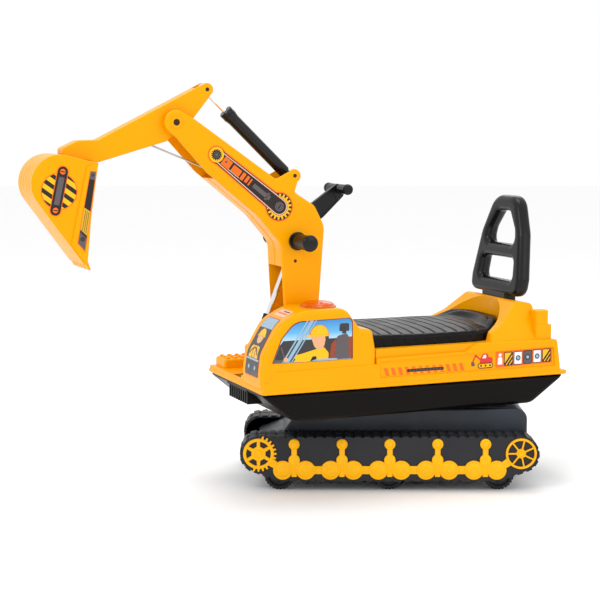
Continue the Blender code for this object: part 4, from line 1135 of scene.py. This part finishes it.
def carried_nodes():
    """Pieces whose modelled shape already serves: they only take their finished material."""
    finish = {"chrome": ("dipper_ram_rod", "boom_ram_rod"),
              "steel": ("link_rod", "axle_front", "axle_middle", "axle_rear", "king_pin", "boom_pin",
                        "lift_foot_pin", "lever_pin", "bucket_pin"),
              "pin": ("dipper_pin", "ear_pin", "boom_ram_pin", "tail_pin"),
              "chassis": ("turntable_ring",)}
    for paint, names in finish.items():
        for name in names:
            node = frame["nodes"][name]
            for face_slot in node.material_slots:
                face_slot.material = PAINT[paint]
            node.data.shade_smooth()
            node.data.set_sharp_from_angle(angle=math.radians(40))


# ---------------------------------------------------------------- printed stickers
def flank(side, face):
    """Sticker plane across the machine: (x, z) drawing, outward to side."""
    return lambda a, b, h: Vector((a, side * (face + h), b))


def along_profile(profile, offset):
    """Sticker surface that follows a side-view profile: (y, length along it)."""
    steps = [(q - p).length for p, q in zip(profile, profile[1:])]

    def place(a, b, h):
        rest = b
        for p, q, step in zip(profile, profile[1:], steps):
            if rest <= step or q is profile[-1]:
                break
            rest -= step
        way = (q - p).normalized()
        outward = Vector((-way.y, way.x))
        spot = p + way * rest + outward * (offset + h)
        return Vector((spot.x, a, spot.y))
    return place


def sticker(name, body, layers, place, bend=0.0):
    """Thin printed plates, (outline, paint, level) each; bend cuts them so that they can follow a curve."""
    names = list(dict.fromkeys(paint for _, paint, _ in layers))
    bm = bmesh.new()
    for outline, paint, level in layers:
        if len(outline) > 2:
            slab(bm, outline, 0.0, level * VINYL, "Z", material=names.index(paint))
    if bend:
        low = min(v.co.y for v in bm.verts)
        high = max(v.co.y for v in bm.verts)
        for k in range(1, int((high - low) / bend) + 1):
            bmesh.ops.bisect_plane(bm, geom=bm.verts[:] + bm.edges[:] + bm.faces[:],
                                   plane_co=(0, low + bend * k, 0), plane_no=(0, 1, 0))
    for vert in bm.verts:
        vert.co = place(*vert.co)
    bmesh.ops.recalc_face_normals(bm, faces=bm.faces)
    mesh = bpy.data.meshes.new(name)
    bm.to_mesh(mesh)
    bm.free()
    obj = bpy.data.objects.new(name, mesh)
    bpy.context.collection.objects.link(obj)
    dress(obj, body, names, sharp=20)


def boom_sticker():
    """Belt drive between a small and a big gear, with a piston."""
    small, big = Vector((-0.3194, 0.5593)), Vector((-0.2116, 0.4739))
    way = (big - small).normalized()
    up = Vector((-way.y, way.x))

    def on_belt(start, end, low, high):
        return [small + way * start + up * low, small + way * end + up * low,
                small + way * end + up * high, small + way * start + up * high]

    layers = [(circle(small, 0.0146), "print_orange", 1), (circle(big, 0.0243), "print_orange", 1),
              (capsule(small, big, 0.0128, 0.0165), "print_orange", 1),
              (circle(big, 0.0224), "print_black", 2),
              (capsule(small, big, 0.0112, 0.0146), "print_black", 2),
              (gear(big, 0.0214, 0.0046, 18), "print_yellow", 3),
              (capsule(small, big, 0.0100, 0.0142), "print_black", 4),
              (capsule(small, big, 0.0094, 0.0134), "print_peach", 5),
              (capsule(small, big, 0.0079, 0.0119), "print_black", 6)]
    for outline in (on_belt(0.014, 0.030, -0.0072, 0.0072), on_belt(0.034, 0.051, -0.0050, 0.0058),
                    on_belt(0.054, 0.060, -0.0064, 0.0064), on_belt(0.063, 0.068, -0.0052, 0.0064),
                    on_belt(0.071, 0.0735, -0.0060, 0.0062)):
        layers.append((outline, "print_orange", 7))
    layers.append((circle(small + way * 0.020 + up * 0.001, 0.0022), "print_grey", 8))
    layers.append((on_belt(0.030, 0.053, -0.0068, -0.0058), "print_peach", 7))
    layers.append((on_belt(0.080, 0.116, -0.0036, 0.0036), "print_grey", 7))
    layers.append((on_belt(0.108, 0.112, -0.0066, 0.0066), "print_grey", 7))
    layers += [(circle(big, 0.0086), "print_black", 8), (circle(big, 0.0077), "print_grey", 9),
               (circle(big, 0.0052), "print_black", 10), (circle(big, 0.0045), "print_grey", 11),
               (capsule(big - up * 0.0028, big + up * 0.0028, 0.0011), "print_black", 12),
               (circle(small, 0.0124), "print_yellow", 8),
               (gear(small, 0.0094, 0.0020, 16), "print_black", 9),
               (circle(small, 0.0052), "print_grey", 10), (circle(small, 0.0040), "print_black", 11),
               (circle(small, 0.0026), "print_grey", 12)]
    for side, word in SIDES:
        sticker("boom_sticker_" + word, "boom", layers, flank(side, BOOM_HALF + 0.0001))


def bucket_stickers():
    """Hazard disc with a link bar, and a strip along the flared rim."""
    middle = Vector((-0.5795, 0.5060))
    disc = circle(middle, 0.0270, 56)
    layers = [(circle(middle, 0.0284, 56), "print_orange", 1), (disc, "print_yellow", 2)]
    slope = Vector((math.cos(math.radians(54)), math.sin(math.radians(54))))
    for k in range(-3, 4):
        start = middle + slope * (0.0135 * k - 0.0032)
        stripe = clipped(clipped(disc, start, slope), start + slope * 0.0064, -slope)
        layers.append((stripe, "print_black", 3))
    top, low = Vector((-0.5733, 0.5358)), Vector((-0.5860, 0.4769))
    way = (low - top).normalized()
    across = Vector((-way.y, way.x))
    layers += [(capsule(top, low, 0.0089), "print_orange", 4),
               (capsule(top, low, 0.0079), "print_black", 5)]
    a, b = top + way * 0.0085, low - way * 0.0085
    layers.append(([a - across * 0.0043, b - across * 0.0043, b + across * 0.0043, a + across * 0.0043],
                   "print_grey", 6))
    for spot in (top, low):
        layers += [(circle(spot, 0.0042), "print_orange", 6),
                   (capsule(spot - across * 0.0028, spot + across * 0.0028, 0.0008), "print_black", 7)]
    tl, tr = Vector((-0.5312, 0.5368)), Vector((-0.5212, 0.5359))
    br, bl = Vector((-0.5410, 0.4110)), Vector((-0.5535, 0.4255))

    def strip(start, end, margin=0.0804):
        """Part of the strip between two shares of its length, margin being a share of its width."""
        left, right = tl.lerp(bl, start), tr.lerp(br, start)
        left_end, right_end = tl.lerp(bl, end), tr.lerp(br, end)
        return [left.lerp(right, margin), left_end.lerp(right_end, margin),
                right_end.lerp(left_end, margin), right.lerp(left, margin)]

    edge = [(strip(0.0, 1.0, 0.0), "print_orange", 1), (strip(0.01, 0.11), "print_grey", 2),
            (circle(tl.lerp(br, 0.5).lerp(tl.lerp(tr, 0.5), 0.90), 0.0022), "print_iron", 3),
            (strip(0.11, 0.50), "print_black", 2), (strip(0.50, 0.80), "print_gold", 2),
            (strip(0.80, 0.84), "print_black", 2), (strip(0.825, 0.83), "print_grey", 3),
            (strip(0.84, 0.985), "print_grey", 2),
            (circle(tl.lerp(tr, 0.5).lerp(bl.lerp(br, 0.5), 0.885), 0.0034), "print_black", 3),
            (circle(tl.lerp(tr, 0.5).lerp(bl.lerp(br, 0.5), 0.885), 0.0024), "print_iron", 4)]
    for k in range(3):
        share = 0.28 + 0.22 * k
        left, right = tl.lerp(tr, share), bl.lerp(br, share)
        start, end, thick = left.lerp(right, 0.52), left.lerp(right, 0.79), Vector((0.0007, 0))
        edge.append(([start, end, end + thick, start + thick], "print_black", 3))
    for side, word in SIDES:
        sticker("bucket_disc_" + word, "bucket", layers, flank(side, BUCKET_HALF + 0.00005))
        sticker("bucket_strip_" + word, "bucket", edge, flank(side, BUCKET_HALF + 0.00305))


def window_sticker():
    """Printed side window: sky, dark interior, a seat and a plain figure in a helmet at the wheel."""
    corners = [(-0.2622, 0.2312, 0.002), (-0.2463, 0.2700, 0.03), (-0.2230, 0.2965, 0.03),
               (-0.1225, 0.2985, 0.008), (-0.1222, 0.2309, 0.003)]
    pane = rounded(corners)

    edges = (((-0.1236, 0.25), (-1, 0)), ((-0.2, 0.2322), (0, 1)), ((-0.2, 0.2972), (0, -1)),
             ((-0.2606, 0.2322), (0.92, -0.39)))

    def inside(outline):
        """Cuts a convex outline to the straight edges of the pane."""
        outline = [Vector(p[:2]) for p in outline]
        for point, normal in edges:
            outline = clipped(outline, Vector(point), Vector(normal))
        return outline

    layers = [(inset(pane, -0.0006), "print_orange", 1), (pane, "print_black", 2),
              (inset(pane, 0.0014), "sky", 3)]
    cabin = [(-0.2610, 0.2322), (-0.2505, 0.2580), (-0.2430, 0.2668), (-0.1236, 0.2668), (-0.1236, 0.2322)]
    layers.append((inside(cabin), "print_iron", 4))
    layers.append((inside([(-0.2610, 0.2322), (-0.2590, 0.2370), (-0.2440, 0.2370), (-0.2330, 0.2322)]),
                   "print_grey", 5))
    layers += [(inside([(-0.1300, 0.2322), (-0.1300, 0.2680), (-0.1236, 0.2680), (-0.1236, 0.2322)]),
                "print_rust", 5),
               (inside([(-0.1640, 0.2322), (-0.1600, 0.2580), (-0.1520, 0.2660), (-0.1480, 0.2322)]),
                "print_rust", 5),
               (inside(rounded([(-0.1560, 0.2322), (-0.1500, 0.2700, 0.006), (-0.1300, 0.2745, 0.006),
                                (-0.1290, 0.2322)])), "print_grey", 6),
               (inside(rounded([(-0.1462, 0.2775, 0.002), (-0.1452, 0.2900, 0.003),
                                (-0.1290, 0.2900, 0.003), (-0.1290, 0.2775, 0.002)])), "print_iron", 6),
               (rectangle(-0.1410, 0.2735, -0.1340, 0.2790), "print_iron", 5)]
    # glancing light across the pane
    for left, wide in ((-0.2455, 0.0030), (-0.2395, 0.0065), (-0.2300, 0.0022)):
        streak = slanted(left, 0.2322, 0.2972, wide, 0.0430)
        layers.append((inside(streak), "print_mist", 5))
    jacket = rounded([(-0.2260, 0.2322), (-0.2150, 0.2440, 0.004), (-0.1900, 0.2500, 0.004),
                      (-0.1740, 0.2545, 0.006), (-0.1650, 0.2440, 0.006), (-0.1655, 0.2322)])
    layers += [(capsule((-0.2400, 0.2350), (-0.2465, 0.2560), 0.0012), "print_grey", 6),
               (inside(jacket), "print_yellow", 7),
               (inside(capsule((-0.2190, 0.2390), (-0.1810, 0.2440), 0.0044, 0.0058)), "print_yellow", 8),
               (inside(rounded([(-0.1970, 0.2322), (-0.1930, 0.2395, 0.002), (-0.1860, 0.2395, 0.002),
                                (-0.1865, 0.2322)])), "print_black", 9),
               (inside(circle((-0.2390, 0.2365), 0.0040, 20)), "print_skin", 8),
               (inside([(-0.1960, 0.2322), (-0.1500, 0.2322), (-0.1505, 0.2345), (-0.1870, 0.2350)]),
                "print_mist", 9)]
    head = Vector((-0.1825, 0.2690))
    layers += [(capsule(head + Vector((0.0100, -0.0010)), head + Vector((0.0110, -0.0060)), 0.0078, 0.0066),
                "print_iron", 8),
               (capsule(head, head + Vector((0.0010, -0.0085)), 0.0118, 0.0098, 20), "print_skin", 9),
               (circle(head + Vector((0.0092, -0.0042)), 0.0028, 20), "print_skin", 10),
               (arc(head + Vector((0.0014, 0.0042)), 0.0164, -4, 184, 28), "print_orange", 11),
               (arc(head + Vector((0.0014, 0.0048)), 0.0156, -2, 182, 28), "print_gold", 12),
               (arc(head + Vector((0.0016, 0.0056)), 0.0146, 0, 180, 28), "print_yellow", 13),
               (capsule(head + Vector((-0.0200, 0.0040)), head + Vector((0.0150, 0.0034)), 0.0015),
                "print_yellow", 14)]
    sticker("side_window", "upper", layers, flank(-1, CAB_SIDE + 0.0001))


def front_window():
    """Printed windscreen down the cab's sloping front, and a plain label over it."""
    profile = cab_outline()[1:]
    start = min(range(len(profile)), key=lambda i: (profile[i] - Vector((-0.280, 0.206))).length)
    stop = min(range(len(profile)), key=lambda i: (profile[i] - Vector((-0.175, ROOF))).length)
    face = [Vector((-0.2798, 0.2055))] + [p for p in profile[start:stop + 1] if p.y > 0.2065]
    lift = along_profile(face, 0.0001)
    tall = 0.106
    near, far = -0.1135, -0.0535
    pane = rounded([(near, 0.0, 0.003), (far, 0.0, 0.003), (far - 0.004, tall, 0.006),
                    (near + 0.004, tall, 0.006)])
    layers = [(pane, "print_orange", 1), (inset(pane, 0.0022), "print_black", 2),
              (inset(pane, 0.0034), "print_iron", 3),
              (rounded([(near + 0.0045, 0.083), (far - 0.0050, 0.083), (far - 0.0068, tall - 0.003, 0.004),
                        (near + 0.0068, tall - 0.003, 0.004)]), "print_mist", 4),
              (rectangle(near + 0.0045, 0.0270, far - 0.0045, 0.0300), "print_mist", 5)]
    for y in (near + 0.017, far - 0.017):
        layers.append((circle((y, 0.0155), 0.0050), "print_grey", 4))
        layers.append((circle((y, 0.0155), 0.0032), "print_mist", 5))
    head = Vector(((near + far) / 2, 0.066))
    layers += [(rounded([(head.x - 0.019, 0.0310), (head.x + 0.019, 0.0310), (head.x + 0.016, 0.051, 0.006),
                         (head.x - 0.016, 0.051, 0.006)]), "print_yellow", 5),
               (rectangle(head.x - 0.0060, 0.0310, head.x - 0.0040, 0.0505), "print_grey", 6),
               (rectangle(head.x + 0.0040, 0.0310, head.x + 0.0060, 0.0505), "print_grey", 6),
               (circle(head, 0.0110), "print_skin", 6),
               (arc(head + Vector((0, 0.002)), 0.0135, 0, 180, 20), "print_yellow", 7),
               (capsule(head + Vector((-0.0150, 0.0025)), head + Vector((0.0150, 0.0025)), 0.0013),
                "print_gold", 8),
               (arc((head.x, 0.0310), 0.0170, 20, 160, 16) + arc((head.x, 0.0310), 0.0150, 160, 20, 16),
                "print_iron", 9)]
    sticker("front_window", "upper", layers, lift, bend=0.004)
    label = [(plate(near + 0.008, tall + 0.006, far - 0.008, tall + 0.024, 0.002),
              "print_peach", 1),
             (rectangle(near + 0.012, tall + 0.0115, far - 0.012, tall + 0.0155), "print_orange", 2),
             (rectangle(near + 0.012, tall + 0.0180, far - 0.024, tall + 0.0205), "print_black", 2)]
    sticker("roof_label", "upper", label, lift, bend=0.004)


def hazard_band():
    """Slanted bars with a small dark plate in the middle."""
    layers = [(slanted(-0.0620 + 0.0126 * k, 0.1992, 0.2120, 0.0066, -0.0042), "print_orange", 1)
              for k in range(12)]
    layers.append((plate(-0.0240, 0.2030, 0.0440, 0.2080, 0.0022), "print_black", 2))
    for k in range(10):
        x = -0.0200 + 0.0062 * k
        layers.append((rectangle(x, 0.2047, x + 0.0038, 0.2063), "print_grey", 3))
    return layers


def digger_icon():
    """Small generic digger."""
    wheels = [(circle((x, 0.2050), 0.0018), "print_black", 3) for x in (0.1145, 0.1230, 0.1315)]
    house = rounded([(0.1120, 0.2100, 0.001), (0.1370, 0.2100, 0.002), (0.1360, 0.2180, 0.002),
                     (0.1290, 0.2190), (0.1270, 0.2250, 0.002), (0.1180, 0.2250, 0.002), (0.1130, 0.2170)])
    window = rounded([(0.1165, 0.2175), (0.1240, 0.2175), (0.1240, 0.2232, 0.001),
                      (0.1195, 0.2232, 0.001)])
    return [(capsule((0.1130, 0.2050), (0.1330, 0.2050), 0.0048), "print_black", 1),
            (capsule((0.1130, 0.2050), (0.1330, 0.2050), 0.0032), "print_yellow", 2),
            *wheels, (house, "print_red", 2), (window, "print_white", 3),
            (capsule((0.1140, 0.2150), (0.1040, 0.2230), 0.0014), "print_red", 1),
            (capsule((0.1040, 0.2230), (0.0990, 0.2130), 0.0013), "print_red", 1),
            (rounded([(0.0950, 0.2130, 0.002), (0.1010, 0.2120, 0.001), (0.1030, 0.2060, 0.001),
                      (0.0965, 0.2045, 0.002)]), "print_grey", 2)]


def block_label():
    """Orange label with plain grey, white and striped blocks."""
    layers = [(rounded([(0.1420, 0.2000, 0.002), (0.2530, 0.2022, 0.002), (0.2520, 0.2292, 0.002),
                        (0.1420, 0.2276, 0.002)]), "print_orange", 1)]
    fills = ("print_yellow", "print_white", "print_grey", "print_white", "print_yellow")
    for k, fill in enumerate(fills):
        x = 0.1585 + 0.0186 * k
        low, high = 0.2022 + 0.0004 * k, 0.2256 + 0.0004 * k
        layers.append((plate(x, low, x + 0.0172, high, 0.002), "print_black", 2))
        inner = plate(x + 0.0014, low + 0.0014, x + 0.0158, high - 0.0014, 0.0012)
        layers.append((inner, fill, 3))
        if fill == "print_yellow":
            for step in range(3):
                start = Vector((x - 0.0020 + 0.0062 * step, low))
                normal = Vector((0.80, -0.60))
                stripe = clipped(clipped(inner, start, normal), start + normal * 0.0030, -normal)
                layers.append((stripe, "print_black", 4))
        else:
            layers.append((circle((x + 0.0086, (low + high) / 2), 0.0046, 24), "print_black", 4))
            layers.append((circle((x + 0.0086, (low + high) / 2), 0.0028, 24), "print_mist", 5))
    layers += [(circle((0.1508, 0.2212), 0.0030, 20), "print_white", 3),
               (rounded([(0.1462, 0.2050, 0.001), (0.1554, 0.2050, 0.001), (0.1546, 0.2172, 0.002),
                         (0.1470, 0.2172, 0.002)]), "print_white", 3)]
    return layers


def flank_stickers():
    skin = BODY_HALF - 0.0021
    for side, word in SIDES:
        for name, layers in (("hazard_band", hazard_band()), ("digger_icon", digger_icon()),
                             ("block_label", block_label())):
            sticker(f"{name}_{word}", "upper", layers, flank(side, skin))


def stickers():
    boom_sticker()
    bucket_stickers()
    window_sticker()
    front_window()
    flank_stickers()


# ---------------------------------------------------------------- studio
def studio():
    """Pale floor, soft lights and the camera of the reference view."""
    bm = bmesh.new()
    bmesh.ops.create_grid(bm, x_segments=4, y_segments=4, size=12.0)
    floor = shape("floor", bm)
    mat = surface("floor_paint", (0.97, 0.97, 0.97), 0.8, 60.0, 0.0001, 0.005, specular=0.05, uneven=0.03)
    floor.data.materials.append(mat)
    world = bpy.data.worlds.new("studio")
    bpy.context.scene.world = world
    world.use_nodes = True
    sky = world.node_tree.nodes["Background"]
    sky.inputs["Color"].default_value = (1.0, 1.0, 1.0, 1.0)
    sky.inputs["Strength"].default_value = 1.0
    lights = (("key", (-1.6, -2.2, 2.4), 1.0, 20.0), ("fill", (2.3, -2.0, 1.5), 1.4, 6.0),
              ("top", (0.2, 0.3, 2.8), 1.2, 14.0), ("back", (0.6, 2.4, 1.9), 1.2, 8.0))
    for name, spot, size, power in lights:
        data = bpy.data.lights.new(name, "AREA")
        data.size = size
        data.energy = power
        lamp = bpy.data.objects.new(name, data)
        lamp.location = spot
        aim = Vector((0.0, 0.0, 0.3)) - Vector(spot)
        lamp.rotation_euler = aim.to_track_quat("-Z", "Y").to_euler()
        bpy.context.collection.objects.link(lamp)
    camera = bpy.data.objects.new("camera", bpy.data.cameras.new("camera"))
    camera.location = (-0.0071, -2.5451, 0.611)
    camera.rotation_euler = (math.radians(83.27), 0.0, 0.0)
    camera.data.lens = 90.45
    camera.data.sensor_width = 36.0
    bpy.context.collection.objects.link(camera)
    bpy.context.scene.camera = camera
    bpy.context.scene.view_settings.view_transform = "Standard"


undercarriage()
hull()
body_shell()
saddle()
rest_frame()
beacon()
arm()
carried_nodes()
stickers()
studio()
